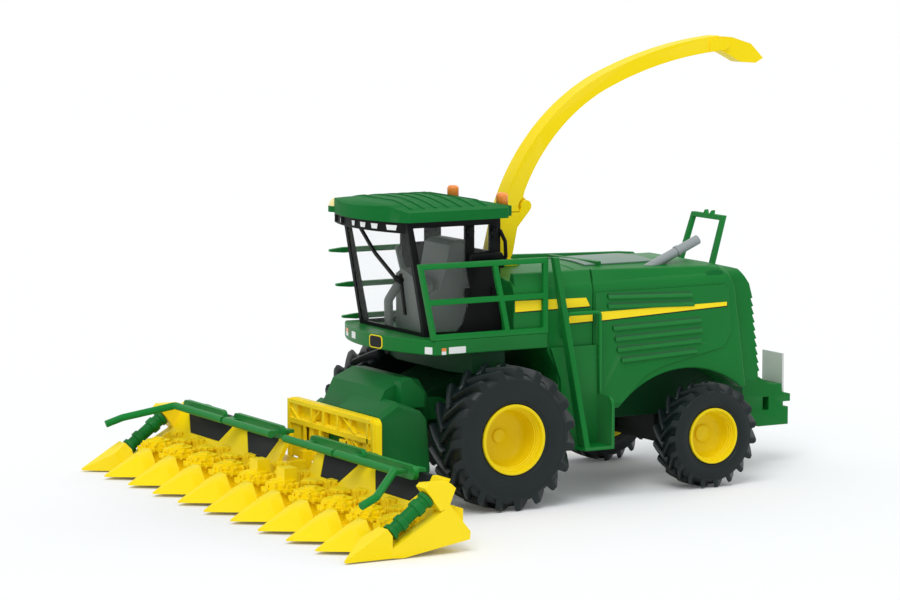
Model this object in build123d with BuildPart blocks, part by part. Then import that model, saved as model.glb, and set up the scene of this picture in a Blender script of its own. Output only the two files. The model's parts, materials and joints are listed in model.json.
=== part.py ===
# Forage harvester, 1:32 scale model with a ten-row rotary header.
# Millimetres.  +Z up, +X is the machine's left, -Y is its front.
# Origin: on the ground, on the centreline, midway between the header's tips and the hitch.
from build123d import *
import os
from math import atan2, degrees

os.makedirs("parts", exist_ok=True)

# Overall layout.  Runs are measured along the machine from the front axle, rearward positive.
reach_ahead = 108.5
reach_behind = 162.0
wheelbase = 99.0
axle_y = (reach_ahead - reach_behind) / 2


def back(run):
    """Row Y of a point that lies this far behind the front axle."""
    return axle_y + run


def side_points(*points):
    """Turn (run, height) pairs into points of a side view."""
    return [(back(run), height) for run, height in points]


def side_plane(x):
    """Side view plane at x: its own axes are Y and Z, its normal is +X."""
    return Plane.YZ.offset(x)


def cross_plane(run):
    """Front view plane at a run: its own axes are X and Z, its normal is -Y."""
    return Plane.XZ.offset(-back(run))


# Wheels
front_tyre_radius = 28.6
front_tyre_width = 19.5
front_rim_radius = 14.0
front_outer_x = 54.7
front_dish = 11.9
front_cap_radius = 2.8
rear_tyre_radius = 21.5
rear_tyre_width = 14.0
rear_rim_radius = 11.4
rear_outer_x = 46.6
rear_dish = 8.2
rear_cap_radius = 3.5
lug_depth_share = 0.085
lugs_per_side = 14
lug_slant_share = 0.58
lug_foot_share = 0.34
lug_sink = 5.0
tread_edge = 0.3
sidewall_rise = 1.6
sidewall_drop = 4.5
flange_gap = 0.1
bead_recess = 1.2
rim_lip = 0.9
bead_gap = 0.1
spindle_radius = 2.2
spindle_clearance = 0.06
front_run = 0.0
rear_run = wheelbase

# Running gear
chassis_half_width = 17.0
axle_beam_radius = 4.2
kingpin_x = 27.0
kingpin_radius = 1.3
kingpin_clearance = 0.06
knuckle_height = 9.0
knuckle_width = 6.0
knuckle_gap = 0.3
clevis_lug = 2.6
wheel_side_gap = 0.8

# Body
body_half_width = 36.0
body_top = 91.4
crown_half_width = 30.0
crown_drop = 3.0
shoulder_z = 82.5
hood_split_run = 47.6
hood_rear_top_run = 111.8
hood_rear_mid_run = 115.7
hood_rear_low_run = 121.5
rear_grille_half_width = 31.5
panel_gap = 0.3
panel_proud = 0.5

# Platform, cab and roof
platform_half_width = 38.0
platform_top = 67.5
platform_fascia = 6.0
platform_wall = 1.6
platform_front_run = -36.5
platform_corner_run = -26.0
cab_half_width = 27.0
cab_wall = 1.5
cab_top = 113.4
screen_foot_run = -25.0
screen_head_run = -33.0
cab_rear_run = 9.5
pillar = 2.0
glass_thickness = 0.7
glass_gap = 0.08
glass_inset = 0.4
screen_low = 69.0
screen_high = 110.7
roof_half_width = 31.0
roof_front_run = -43.0
roof_corner_run = -34.5
roof_rear_run = 12.0
roof_band = 4.0
roof_crown = 4.2
beacon_x = 19.8
beacon_run = 14.4
beacon_radius = 2.4
beacon_height = 5.2
roof_edge_round = 2.5
roof_rib_count = 7
roof_rib_pitch = 5.6
roof_rib_width = 1.1
roof_rib_rise = 0.35
lamp_ear_x = -27.4
lamp_ear_run = -34.6
lamp_ear_radius = 4.0
lamp_ear_height = 2.4
corner_lamp_radius = 3.3
corner_lamp_height = 3.2
corner_lamp_gap = 0.15

# Rails and stair
rail_x = 37.0
rail_top = 96.6
rail_mid = 82.4
rail_rear_run = 25.2
stair_outer_x = 49.0
stair_floor = 20.5
stair_rear_run = 49.6
stair_plate = 1.3

# Spout
swivel_run = 25.5
turret_radius = 7.6
turret_height = 2.6
spout_half_width = 4.0
lift_run = 35.0
lift_height = 115.0
lift_pin_radius = 1.2
lift_boss_radius = 2.4
lift_lug_half = 1.9
lift_ear = 2.0
lift_side_gap = 0.3
flap_run = 130.2
flap_height = 178.6
flap_boss_radius = 3.0
flap_pin_radius = 0.9
flap_cheek = 0.8
flap_side_gap = 0.25
hinge_clearance = 0.06

# Header
header_half_width = 118.5
row_count = 10
row_step = 2 * header_half_width / row_count
tip_run = -reach_ahead
trough_floor = 2.0
trough_plate = 2.2
wall_run = -62.0
wall_top = 23.0
panel_top = 26.8
rotor_run = -79.8
rotor_radius = 8.8
rail_tube_radius = 1.5
header_pin_run = -15.0
header_pin_height = 38.0
header_pin_radius = 1.6
header_pin_clearance = 0.06
feeder_half_width = 33.4
feeder_ear = 2.6
frame_half_width = 37.0
frame_plate = 3.0
feeder_mid_half_width = 22.0
beam_rear_gap = 4.2

pieces = {}


# Wheels: a tyre and a rim share one axis, first drawn about Z with the outer face upward.
def make_tyre(radius, width, rim_radius):
    """Faceted carcass with slanted lugs from each shoulder to just past the middle."""
    half = width / 2
    carcass = radius * (1 - lug_depth_share)
    sides = 2 * lugs_per_side
    slant = lug_slant_share * half
    foot = lug_foot_share * half
    lug_top = (radius ** 2 - slant ** 2) ** 0.5
    shoulder = degrees(atan2(sidewall_drop, sidewall_rise))
    with BuildPart() as lug:
        with BuildSketch(Plane.YZ.offset(carcass - lug_sink)):
            Polygon(
                (-slant, -foot / 3), (-slant + foot, -foot / 3), (slant, half - tread_edge),
                (slant - foot, half - tread_edge), align=None,
            )
        extrude(amount=lug_top - carcass + lug_sink)
    with BuildPart() as tyre:
        with BuildSketch(Plane.XY.offset(-half + sidewall_rise)):
            RegularPolygon(carcass, sides, rotation=180 / sides)
        extrude(amount=width - 2 * sidewall_rise)
        for side in (1, -1):
            with BuildSketch(Plane.XY.offset(side * (half - sidewall_rise))):
                RegularPolygon(carcass, sides, rotation=180 / sides)
            extrude(amount=side * sidewall_rise, taper=shoulder)
        with PolarLocations(0, lugs_per_side):
            add(lug.part)
        with PolarLocations(0, lugs_per_side, start_angle=180 / lugs_per_side):
            add(lug.part.mirror(Plane.XY))
        with BuildSketch(Plane.XY.offset(-half)):
            RegularPolygon(rim_radius - rim_lip + bead_gap, sides, major_radius=False, rotation=180 / sides)
        extrude(amount=width, mode=Mode.SUBTRACT)
        for side in (1, -1):
            with BuildSketch(Plane.XY.offset(side * half)):
                RegularPolygon(rim_radius + flange_gap, sides, major_radius=False, rotation=180 / sides)
            extrude(amount=-side * bead_recess, mode=Mode.SUBTRACT)
    return tyre.part


def make_rim(width, rim_radius, dish, cap_radius):
    half = width / 2
    barrel = rim_radius - rim_lip
    floor = half - dish
    bore = spindle_radius + spindle_clearance
    with BuildPart() as rim:
        with BuildSketch(Plane.XZ):
            with BuildLine():
                Polyline(
                    (0, floor),
                    (cap_radius, floor),
                    (cap_radius + 0.5, floor - 0.9),
                    (rim_radius * 0.62, floor - 0.9),
                    (rim_radius * 0.78, floor + 0.8),
                    (barrel - 0.9, half - 0.4),
                    (rim_radius - 0.5, half),
                    (rim_radius, half - 0.3),
                    (rim_radius, half - 1.1),
                    (barrel, half - 1.1),
                    (barrel, -half + 1.1),
                    (rim_radius, -half + 1.1),
                    (rim_radius, -half + 0.3),
                    (barrel - 0.9, -half + 0.3),
                    (barrel - 0.9, floor - 2.0),
                    (rim_radius * 0.66, floor - 2.2),
                    (bore + 1.6, floor - 2.2),
                    (bore + 1.6, floor - 5.0),
                    (bore, floor - 5.0),
                    (bore, floor - 1.2),
                    (0, floor - 1.2),
                    close=True,
                )
            make_face()
        revolve(axis=Axis.Z)
    return rim.part


wheel_table = [
    # place, run, tyre radius, tyre width, rim radius, outer x, dish, cap radius
    ("front", front_run, front_tyre_radius, front_tyre_width, front_rim_radius, front_outer_x,
     front_dish, front_cap_radius),
    ("rear", rear_run, rear_tyre_radius, rear_tyre_width, rear_rim_radius, rear_outer_x,
     rear_dish, rear_cap_radius),
]

for place, run, radius, width, rim_radius, outer_x, dish, cap_radius in wheel_table:
    tyre_form = make_tyre(radius, width, rim_radius)
    rim_form = make_rim(width, rim_radius, dish, cap_radius)
    wheel_centre = (outer_x - width / 2, back(run), radius)
    hub = Plane(origin=wheel_centre, x_dir=(0, 1, 0), z_dir=(1, 0, 0))
    for kind, form in (("tyre", tyre_form), ("rim", rim_form)):
        with BuildPart() as left_wheel:
            add(form.moved(hub.location))
        with BuildPart() as right_wheel:
            add(left_wheel.part)
            mirror(about=Plane.YZ, mode=Mode.REPLACE)
        pieces[f"{kind}_{place}_left"] = left_wheel
        pieces[f"{kind}_{place}_right"] = right_wheel

# Chassis: a box frame between the axles with a nose that carries the header pin
with BuildPart() as chassis:
    with BuildSketch(side_plane(-chassis_half_width)):
        Polygon(
            *side_points((-19, 44), (-19, 31), (-12, 22), (14, 21), (34, 27), (60, 27.5),
                         (112, 27.5), (118, 30), (133, 31), (133, 40), (121.4, 40.6), (118.5, 50),
                         (30, 50), (0, 52)),
            align=None,
        )
    extrude(amount=2 * chassis_half_width)
    with BuildSketch(side_plane(-chassis_half_width - feeder_ear - 1.2)):
        with Locations((back(header_pin_run), header_pin_height)):
            Circle(header_pin_radius)
    extrude(amount=2 * (chassis_half_width + feeder_ear + 1.2))
pieces["chassis"] = chassis

# Front axle: a fixed beam with a spindle at each end
front_inner_x = front_outer_x - front_tyre_width
front_spindle_end = front_outer_x - front_dish - 1.2 - panel_gap
with BuildPart() as front_axle:
    with BuildSketch(side_plane(-front_inner_x + wheel_side_gap)):
        with Locations((back(front_run), front_tyre_radius)):
            Circle(axle_beam_radius)
    extrude(amount=2 * (front_inner_x - wheel_side_gap))
    with BuildSketch(side_plane(-front_spindle_end)):
        with Locations((back(front_run), front_tyre_radius)):
            Circle(spindle_radius)
    extrude(amount=2 * front_spindle_end)
    with BuildSketch(side_plane(-chassis_half_width)):
        with Locations((back(front_run), front_tyre_radius)):
            Circle(axle_beam_radius)
    extrude(amount=2 * chassis_half_width, mode=Mode.SUBTRACT)
pieces["front_axle"] = front_axle

# Rear axle: a beam under the chassis that ends in a clevis for each knuckle
clevis_half = knuckle_height / 2 + knuckle_gap
with BuildPart() as rear_axle:
    with BuildSketch(cross_plane(rear_run + knuckle_width / 2)):
        with Locations((0, rear_tyre_radius)):
            Rectangle(2 * (kingpin_x + knuckle_width / 2), 2 * (clevis_half + clevis_lug))
        with Locations((kingpin_x, rear_tyre_radius), (-kingpin_x, rear_tyre_radius)):
            Rectangle(knuckle_width + 2.4, 2 * clevis_half, mode=Mode.SUBTRACT)
        with Locations((0, rear_tyre_radius + clevis_half + clevis_lug)):
            Rectangle(
                2 * (kingpin_x - knuckle_width), 2 * (clevis_half + clevis_lug - 6.0), mode=Mode.SUBTRACT
            )
    extrude(amount=knuckle_width)
    with BuildSketch(Plane.XY.offset(rear_tyre_radius - clevis_half)):
        with Locations((kingpin_x, back(rear_run)), (-kingpin_x, back(rear_run))):
            Circle(kingpin_radius)
    extrude(amount=2 * clevis_half)
    with BuildSketch(Plane.XY.offset(rear_tyre_radius)):
        with Locations((0, back(rear_run))):
            Rectangle(18, 10)
    extrude(amount=6.0)
pieces["rear_axle"] = rear_axle

# Knuckles: each turns on its kingpin and carries a rear spindle
rear_spindle_end = rear_outer_x - rear_dish - 1.2 - panel_gap
with BuildPart() as knuckle_left:
    with BuildSketch(Plane.XY.offset(rear_tyre_radius - knuckle_height / 2)):
        with Locations((kingpin_x, back(rear_run))):
            Circle(knuckle_width / 2)
    extrude(amount=knuckle_height)
    with BuildSketch(side_plane(kingpin_x)):
        with Locations((back(rear_run), rear_tyre_radius)):
            Circle(spindle_radius)
    extrude(amount=rear_spindle_end - kingpin_x)
    with BuildSketch(Plane.XY.offset(rear_tyre_radius - knuckle_height / 2)):
        with Locations((kingpin_x, back(rear_run))):
            Circle(kingpin_radius + kingpin_clearance)
    extrude(amount=knuckle_height, mode=Mode.SUBTRACT)
with BuildPart() as knuckle_right:
    add(knuckle_left.part)
    mirror(about=Plane.YZ, mode=Mode.REPLACE)
pieces["knuckle_left"] = knuckle_left
pieces["knuckle_right"] = knuckle_right

# Body: a front section beside the cab's rear and a hood with its wheel arches


def hood_section(inset=0.0):
    """Front view of the body: straight sides, round shoulders and a low crown."""
    side_x = body_half_width - inset
    crown_x = crown_half_width - inset
    crown_z = body_top - crown_drop
    with BuildSketch() as section:
        with BuildLine():
            Polyline((-side_x, shoulder_z), (-side_x, 20), (side_x, 20), (side_x, shoulder_z))
            ThreePointArc((side_x, shoulder_z), (side_x - 1.7, shoulder_z + 4.4), (crown_x, crown_z))
            ThreePointArc((crown_x, crown_z), (0, body_top), (-crown_x, crown_z))
            ThreePointArc((-crown_x, crown_z), (-side_x + 1.7, shoulder_z + 4.4), (-side_x, shoulder_z))
        make_face()
    return section.sketch


body_outline = hood_section()
grille_outline = hood_section(body_half_width - rear_grille_half_width + 0.4)
with BuildPart() as body_front:
    with BuildSketch(cross_plane(0)):
        add(body_outline)
    extrude(amount=-60)
    with BuildSketch(side_plane(-body_half_width)):
        Polygon(
            *side_points((10.5, platform_top), (10.5, 100), (hood_split_run - panel_gap, 100),
                         (hood_split_run - panel_gap, 40), (31.5, 40), (30.5, 52), (26, 60),
                         (26, platform_top)),
            align=None,
        )
    extrude(amount=2 * body_half_width, mode=Mode.INTERSECT)
    add(chassis.part, mode=Mode.SUBTRACT)
pieces["body_front"] = body_front

with BuildPart() as hood:
    with BuildSketch(cross_plane(40)):
        add(body_outline)
    extrude(amount=-100)
    with BuildSketch(side_plane(-body_half_width)):
        with BuildLine():
            Polyline(*side_points((60, 34.6), (hood_split_run, 34.6), (hood_split_run, 100), (94, 100),
                                  (94, body_top), (hood_rear_top_run, 89.8), (hood_rear_mid_run, 80.7),
                                  (hood_rear_low_run, 39.5), (119.6, 38.6)))
            ThreePointArc(*side_points((119.6, 38.6), (91, 48.5), (60, 34.6)))
        make_face()
    extrude(amount=2 * body_half_width, mode=Mode.INTERSECT)
    add(chassis.part, mode=Mode.SUBTRACT)
pieces["hood"] = hood

# Platform round the cab: a floor with a fascia that hangs from its edge
with BuildPart() as platform:
    with BuildSketch(Plane.XY.offset(platform_top - platform_fascia)):
        with BuildLine():
            Line((platform_half_width, back(rail_rear_run)), (platform_half_width, back(platform_corner_run)))
            ThreePointArc((platform_half_width, back(platform_corner_run)), (0, back(platform_front_run)),
                          (-platform_half_width, back(platform_corner_run)))
            Line((-platform_half_width, back(platform_corner_run)), (-platform_half_width, back(rail_rear_run)))
            Line((-platform_half_width, back(rail_rear_run)), (platform_half_width, back(rail_rear_run)))
        make_face()
    extrude(amount=platform_fascia)
    offset(amount=-platform_wall, openings=platform.faces().sort_by(Axis.Z)[0])
pieces["platform"] = platform

# Cab: black frame with its windows cut through
cab_side = side_points(
    (screen_foot_run, platform_top), (screen_head_run, cab_top), (cab_rear_run, cab_top),
    (cab_rear_run, platform_top)
)
cab_inner = side_points(
    (screen_foot_run + cab_wall, platform_top), (screen_head_run + cab_wall, cab_top),
    (cab_rear_run - cab_wall, cab_top), (cab_rear_run - cab_wall, platform_top)
)
door_window = side_points(
    (screen_foot_run + 3.4, platform_top + 1.6), (screen_head_run + 3.0, cab_top - 2.6),
    (-6.4, cab_top - 2.6), (-6.4, 96), (-3.6, 84), (-7.5, 72), (-10, platform_top + 1.6)
)
rear_window_height = 11.4
rear_window_z = cab_top - 2.5 - rear_window_height / 2
quarter_window = side_points((-2.4, cab_top - 2.6), (4.8, cab_top - 2.6), (4.8, 99.5), (-2.4, 99.5))
with BuildPart() as cab_frame:
    with BuildSketch(side_plane(-cab_half_width)):
        Polygon(*cab_side, align=None)
    extrude(amount=2 * cab_half_width)
    with BuildSketch(side_plane(-cab_half_width + cab_wall)):
        Polygon(*cab_inner, align=None)
    extrude(amount=2 * (cab_half_width - cab_wall), mode=Mode.SUBTRACT)
    with BuildSketch(side_plane(-cab_half_width)):
        Polygon(*door_window, align=None)
        Polygon(*quarter_window, align=None)
    extrude(amount=2 * cab_half_width, mode=Mode.SUBTRACT)
    with BuildSketch(cross_plane(screen_foot_run + 6)):
        with Locations((0, (platform_top + cab_top) / 2 - 0.6)):
            Rectangle(2 * (cab_half_width - pillar), cab_top - platform_top - 4.2)
    extrude(amount=20, mode=Mode.SUBTRACT)
    with BuildSketch(cross_plane(cab_rear_run + 1)):
        with Locations((0, rear_window_z)):
            Rectangle(2 * (cab_half_width - 6), rear_window_height)
    extrude(amount=4, mode=Mode.SUBTRACT)
pieces["cab_frame"] = cab_frame

# Roof: a banded plan with a crown in both directions, ribs across it and ears for the lamps


def roof_form(rise):
    """The roof's block, its crown raised by this much."""
    edge_z = cab_top + roof_band + rise
    with BuildPart() as form:
        with BuildSketch(Plane.XY.offset(cab_top)) as plan:
            with BuildLine():
                Line((-roof_half_width, back(roof_rear_run)), (roof_half_width, back(roof_rear_run)))
                Line((roof_half_width, back(roof_rear_run)), (roof_half_width, back(roof_corner_run)))
                ThreePointArc(
                    (roof_half_width, back(roof_corner_run)), (0, back(roof_front_run)),
                    (-roof_half_width, back(roof_corner_run)),
                )
                Line((-roof_half_width, back(roof_corner_run)), (-roof_half_width, back(roof_rear_run)))
            make_face()
            fillet(plan.vertices(), radius=roof_edge_round)
        extrude(amount=roof_band + roof_crown + rise)
        with BuildSketch(side_plane(-roof_half_width)):
            with BuildLine():
                ThreePointArc(*side_points(
                    (roof_front_run - 1, edge_z + 1.2), (-12, edge_z + roof_crown),
                    (roof_rear_run + 1, edge_z + 0.6)))
                Polyline(*side_points(
                    (roof_rear_run + 1, edge_z + 0.6), (roof_rear_run + 1, cab_top - 1),
                    (roof_front_run - 1, cab_top - 1), (roof_front_run - 1, edge_z + 1.2)))
            make_face()
        extrude(amount=2 * roof_half_width, mode=Mode.INTERSECT)
        with BuildSketch(cross_plane(roof_rear_run)):
            with BuildLine():
                ThreePointArc((-roof_half_width, edge_z), (0, edge_z + roof_crown),
                              (roof_half_width, edge_z))
                Polyline((roof_half_width, edge_z), (roof_half_width, cab_top), (-roof_half_width, cab_top),
                         (-roof_half_width, edge_z))
            make_face()
        extrude(amount=roof_rear_run - roof_front_run, mode=Mode.INTERSECT)
    return form.part


with BuildPart() as roof_ribs:
    add(roof_form(roof_rib_rise))
    with BuildSketch(Plane.XY.offset(cab_top)):
        with Locations((0, back((roof_front_run + roof_rear_run) / 2 + 1.5))):
            with GridLocations(1, roof_rib_pitch, 1, roof_rib_count):
                Rectangle(2 * roof_half_width - 8.0, roof_rib_width)
    extrude(amount=roof_band + roof_crown + roof_rib_rise, mode=Mode.INTERSECT)
with BuildPart() as cab_roof:
    add(roof_form(0))
    add(roof_ribs.part)
    with BuildSketch(Plane.XY.offset(cab_top)):
        with Locations((beacon_x, back(beacon_run - 1)), (-beacon_x, back(beacon_run - 1))):
            RectangleRounded(2 * beacon_radius + 2.6, 2 * beacon_radius + 3.2, 1.6)
    extrude(amount=roof_band)
    with BuildSketch(Plane.XY.offset(cab_top)):
        with Locations((lamp_ear_x, back(lamp_ear_run))):
            Circle(lamp_ear_radius)
    extrude(amount=lamp_ear_height)
    with BuildSketch(Plane.XY.offset(cab_top + lamp_ear_height)):
        with Locations((lamp_ear_x, back(lamp_ear_run))):
            Circle(corner_lamp_radius + corner_lamp_gap)
    extrude(amount=roof_band + roof_crown, mode=Mode.SUBTRACT)
pieces["cab_roof"] = cab_roof

with BuildPart() as beacons:
    with BuildSketch(Plane.XY.offset(cab_top + roof_band)):
        with Locations((beacon_x, back(beacon_run)), (-beacon_x, back(beacon_run))):
            Circle(beacon_radius)
    extrude(amount=beacon_height)
    fillet(beacons.edges().filter_by(GeomType.CIRCLE).group_by(Axis.Z)[-1], beacon_radius * 0.6)
pieces["beacons"] = beacons

# Lamp bar under the roof's front edge, with its lamps
bar_height = 4.2
with BuildPart() as lamp_bar:
    with BuildSketch(Plane.XY.offset(cab_top - bar_height)):
        with BuildLine():
            ThreePointArc((28.0, back(-36.0)), (0, back(-41.4)), (-28.0, back(-36.0)))
            Line((-28.0, back(-36.0)), (-28.0, back(-33.6)))
            ThreePointArc((-28.0, back(-33.6)), (0, back(-38.6)), (28.0, back(-33.6)))
            Line((28.0, back(-33.6)), (28.0, back(-36.0)))
        make_face()
    extrude(amount=bar_height)
pieces["lamp_bar"] = lamp_bar

# Spout: a turret on the body, a swivelling base, a lifting arm and an end flap
with BuildPart() as spout_turret:
    with BuildSketch(Plane.XY.offset(body_top - 1)):
        with Locations((0, back(swivel_run))):
            Circle(turret_radius)
    extrude(amount=turret_height)
    add(body_front.part, mode=Mode.SUBTRACT)
pieces["spout_turret"] = spout_turret

turret_top = body_top - 1 + turret_height
lift_point = (back(lift_run), lift_height)
base_top = lift_height - 2.4
arm_foot = lift_height - 2.0
with BuildPart() as spout_base:
    with BuildSketch(side_plane(-spout_half_width - 0.3)):
        Polygon(
            *side_points((swivel_run - 5.0, turret_top + 0.3), (swivel_run + 1.5, turret_top + 0.3),
                         (swivel_run + 3.1, turret_top + 3), (lift_run - 3.0, base_top),
                         (lift_run - 11.8, base_top), (swivel_run - 6.3, turret_top + 3)),
            align=None,
        )
    extrude(amount=2 * spout_half_width + 0.6)
    for side in (1, -1):
        with BuildSketch(side_plane(side * (lift_lug_half + lift_side_gap + lift_ear / 2))):
            with Locations(lift_point):
                Circle(lift_boss_radius)
            Polygon(*side_points((lift_run - 4.6, lift_height - 9.0), (lift_run - 3.0, lift_height - 3.0),
                                 (lift_run - 1.6, lift_height + 1.6),
                                 (lift_run + 1.9, lift_height - 1.6)), align=None)
        extrude(amount=lift_ear / 2, both=True)
    with BuildSketch(side_plane(-lift_lug_half - lift_side_gap - lift_ear)):
        with Locations(lift_point):
            Circle(lift_pin_radius)
    extrude(amount=2 * (lift_lug_half + lift_side_gap + lift_ear))
pieces["spout_base"] = spout_base

flap_point = (back(flap_run), flap_height)
arm_end_run = flap_run - 2.0
arm_back = (lift_run - 10.3, lift_height + 2.0)
arm_heel = (lift_run - 0.7, lift_height + 6.1)


def arm_point(run_share, height_share):
    """Point of the spout's bend, as shares of the way from the lift pin to the flap pin."""
    return (lift_run + run_share * (flap_run - lift_run),
            lift_height + height_share * (flap_height - lift_height))


with BuildPart() as spout_arm:
    with BuildSketch(side_plane(-spout_half_width)):
        with BuildLine():
            Polyline(*side_points(arm_heel, (lift_run - 3.0, arm_foot), (lift_run - 11.4, arm_foot),
                                  arm_back))
            ThreePointArc(*side_points(arm_back, arm_point(0.053, 0.443), arm_point(0.378, 0.819)))
            ThreePointArc(*side_points(arm_point(0.378, 0.819), arm_point(0.662, 0.969),
                                       (arm_end_run, flap_height + 3.4)))
            Line(*side_points((arm_end_run, flap_height + 3.4), (arm_end_run, flap_height - 3.0)))
            ThreePointArc(*side_points((arm_end_run, flap_height - 3.0), arm_point(0.657, 0.868),
                                       arm_point(0.392, 0.723)))
            ThreePointArc(*side_points(arm_point(0.392, 0.723), arm_point(0.132, 0.425), arm_heel))
        make_face()
        with Locations(flap_point):
            Circle(flap_boss_radius + panel_gap, mode=Mode.SUBTRACT)
    extrude(amount=2 * spout_half_width)
    for side in (1, -1):
        with BuildSketch(side_plane(side * (lift_lug_half + spout_half_width) / 2)):
            with Locations(lift_point):
                Circle(lift_boss_radius + 1.2)
        extrude(amount=(spout_half_width - lift_lug_half) / 2 + 0.01, both=True, mode=Mode.SUBTRACT)
        with BuildSketch(side_plane(side * (spout_half_width + flap_cheek / 2))):
            with Locations(flap_point):
                Circle(flap_boss_radius - 0.4)
            Polygon(*side_points((flap_run, flap_height + 2.6), (flap_run - 7.0, flap_height + 1.4),
                                 (flap_run - 7.0, flap_height - 3.2), (flap_run, flap_height - 2.6)),
                    align=None)
        extrude(amount=flap_cheek / 2, both=True)
    with BuildSketch(side_plane(-lift_lug_half)):
        with Locations(lift_point):
            Circle(lift_boss_radius)
        Polygon(*side_points((lift_run - 2.0, lift_height + 2.6), (lift_run - 1.4, lift_height + 4.8),
                             (lift_run + 1.8, lift_height + 1.8),
                             (lift_run - 2.3, lift_height - 0.6)), align=None)
    extrude(amount=2 * lift_lug_half)
    with BuildSketch(side_plane(-lift_lug_half)):
        with Locations(lift_point):
            Circle(lift_pin_radius + hinge_clearance)
    extrude(amount=2 * lift_lug_half, mode=Mode.SUBTRACT)
    with BuildSketch(side_plane(-spout_half_width - flap_cheek)):
        with Locations(flap_point):
            Circle(flap_pin_radius)
    extrude(amount=2 * (spout_half_width + flap_cheek))
pieces["spout_arm"] = spout_arm

with BuildPart() as spout_flap:
    with BuildSketch(side_plane(-spout_half_width + flap_side_gap)):
        with Locations(flap_point):
            Circle(flap_boss_radius)
        Polygon(
            *side_points((flap_run + 0.4, flap_height + 3.0), (flap_run + 4.8, flap_height + 2.6),
                         (flap_run + 14.2, flap_height - 0.3), (flap_run + 20.4, flap_height - 6.4),
                         (flap_run + 16.6, flap_height - 8.4), (flap_run + 9.3, flap_height - 7.9),
                         (flap_run + 3.4, flap_height - 4.8), (flap_run - 1.0, flap_height - 2.8)),
            align=None,
        )
        with Locations(flap_point):
            Circle(flap_pin_radius + hinge_clearance, mode=Mode.SUBTRACT)
    extrude(amount=2 * (spout_half_width - flap_side_gap))
pieces["spout_flap"] = spout_flap

# Header: feeder house and attaching frame
ear_inner_x = chassis_half_width + panel_gap
feeder_boss_radius = 4.4
feeder_front_run = -49.2
feeder_rear_run = -21.0
feeder_sides = [(1, 43.8), (-1, 37.5)]
with BuildPart() as feeder_house:
    with BuildSketch(side_plane(-feeder_mid_half_width)):
        Polygon(
            *side_points((feeder_front_run, 15), (feeder_front_run, 36), (-45, 37), (-40, 47), (-31, 51),
                         (-25, 50.5), (feeder_rear_run, 44), (feeder_rear_run, 21), (-27, 14)),
            align=None,
        )
    extrude(amount=2 * feeder_mid_half_width)
    with BuildSketch(side_plane(feeder_mid_half_width - 1)):
        Polygon(*side_points((-35.5, 40), (-35.5, 50.2), (-31, 51.8), (-25, 46), (-25, 40)), align=None)
    extrude(amount=6.0)
    for side, crest_z in feeder_sides:
        with BuildSketch(side_plane(0)):
            Polygon(
                *side_points((feeder_front_run, 15), (feeder_front_run, crest_z - 5.3), (-40.5, crest_z),
                             (-30, crest_z - 4.3), (-27.8, crest_z - 8), (-26, 14)),
                align=None,
            )
        extrude(amount=side * feeder_half_width)
    chamfer(feeder_house.edges().filter_by(Axis.Y, tolerance=40).group_by(Axis.X)[-1], 1.6)
    chamfer(feeder_house.edges().filter_by(Axis.Y, tolerance=40).group_by(Axis.X)[0], 1.6)
    for side in (1, -1):
        with BuildSketch(side_plane(side * (ear_inner_x + feeder_ear / 2))):
            with Locations((back(header_pin_run), header_pin_height)):
                Circle(feeder_boss_radius)
            Polygon(
                *side_points((header_pin_run, header_pin_height + feeder_boss_radius),
                             (feeder_rear_run - 1, header_pin_height + feeder_boss_radius),
                             (feeder_rear_run - 1, header_pin_height - feeder_boss_radius),
                             (header_pin_run, header_pin_height - feeder_boss_radius)),
                align=None,
            )
        extrude(amount=feeder_ear / 2, both=True)
    with BuildSketch(side_plane(-feeder_half_width)):
        with Locations((back(header_pin_run), header_pin_height)):
            Circle(header_pin_radius + header_pin_clearance)
    extrude(amount=2 * feeder_half_width, mode=Mode.SUBTRACT)
pieces["feeder_house"] = feeder_house

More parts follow.
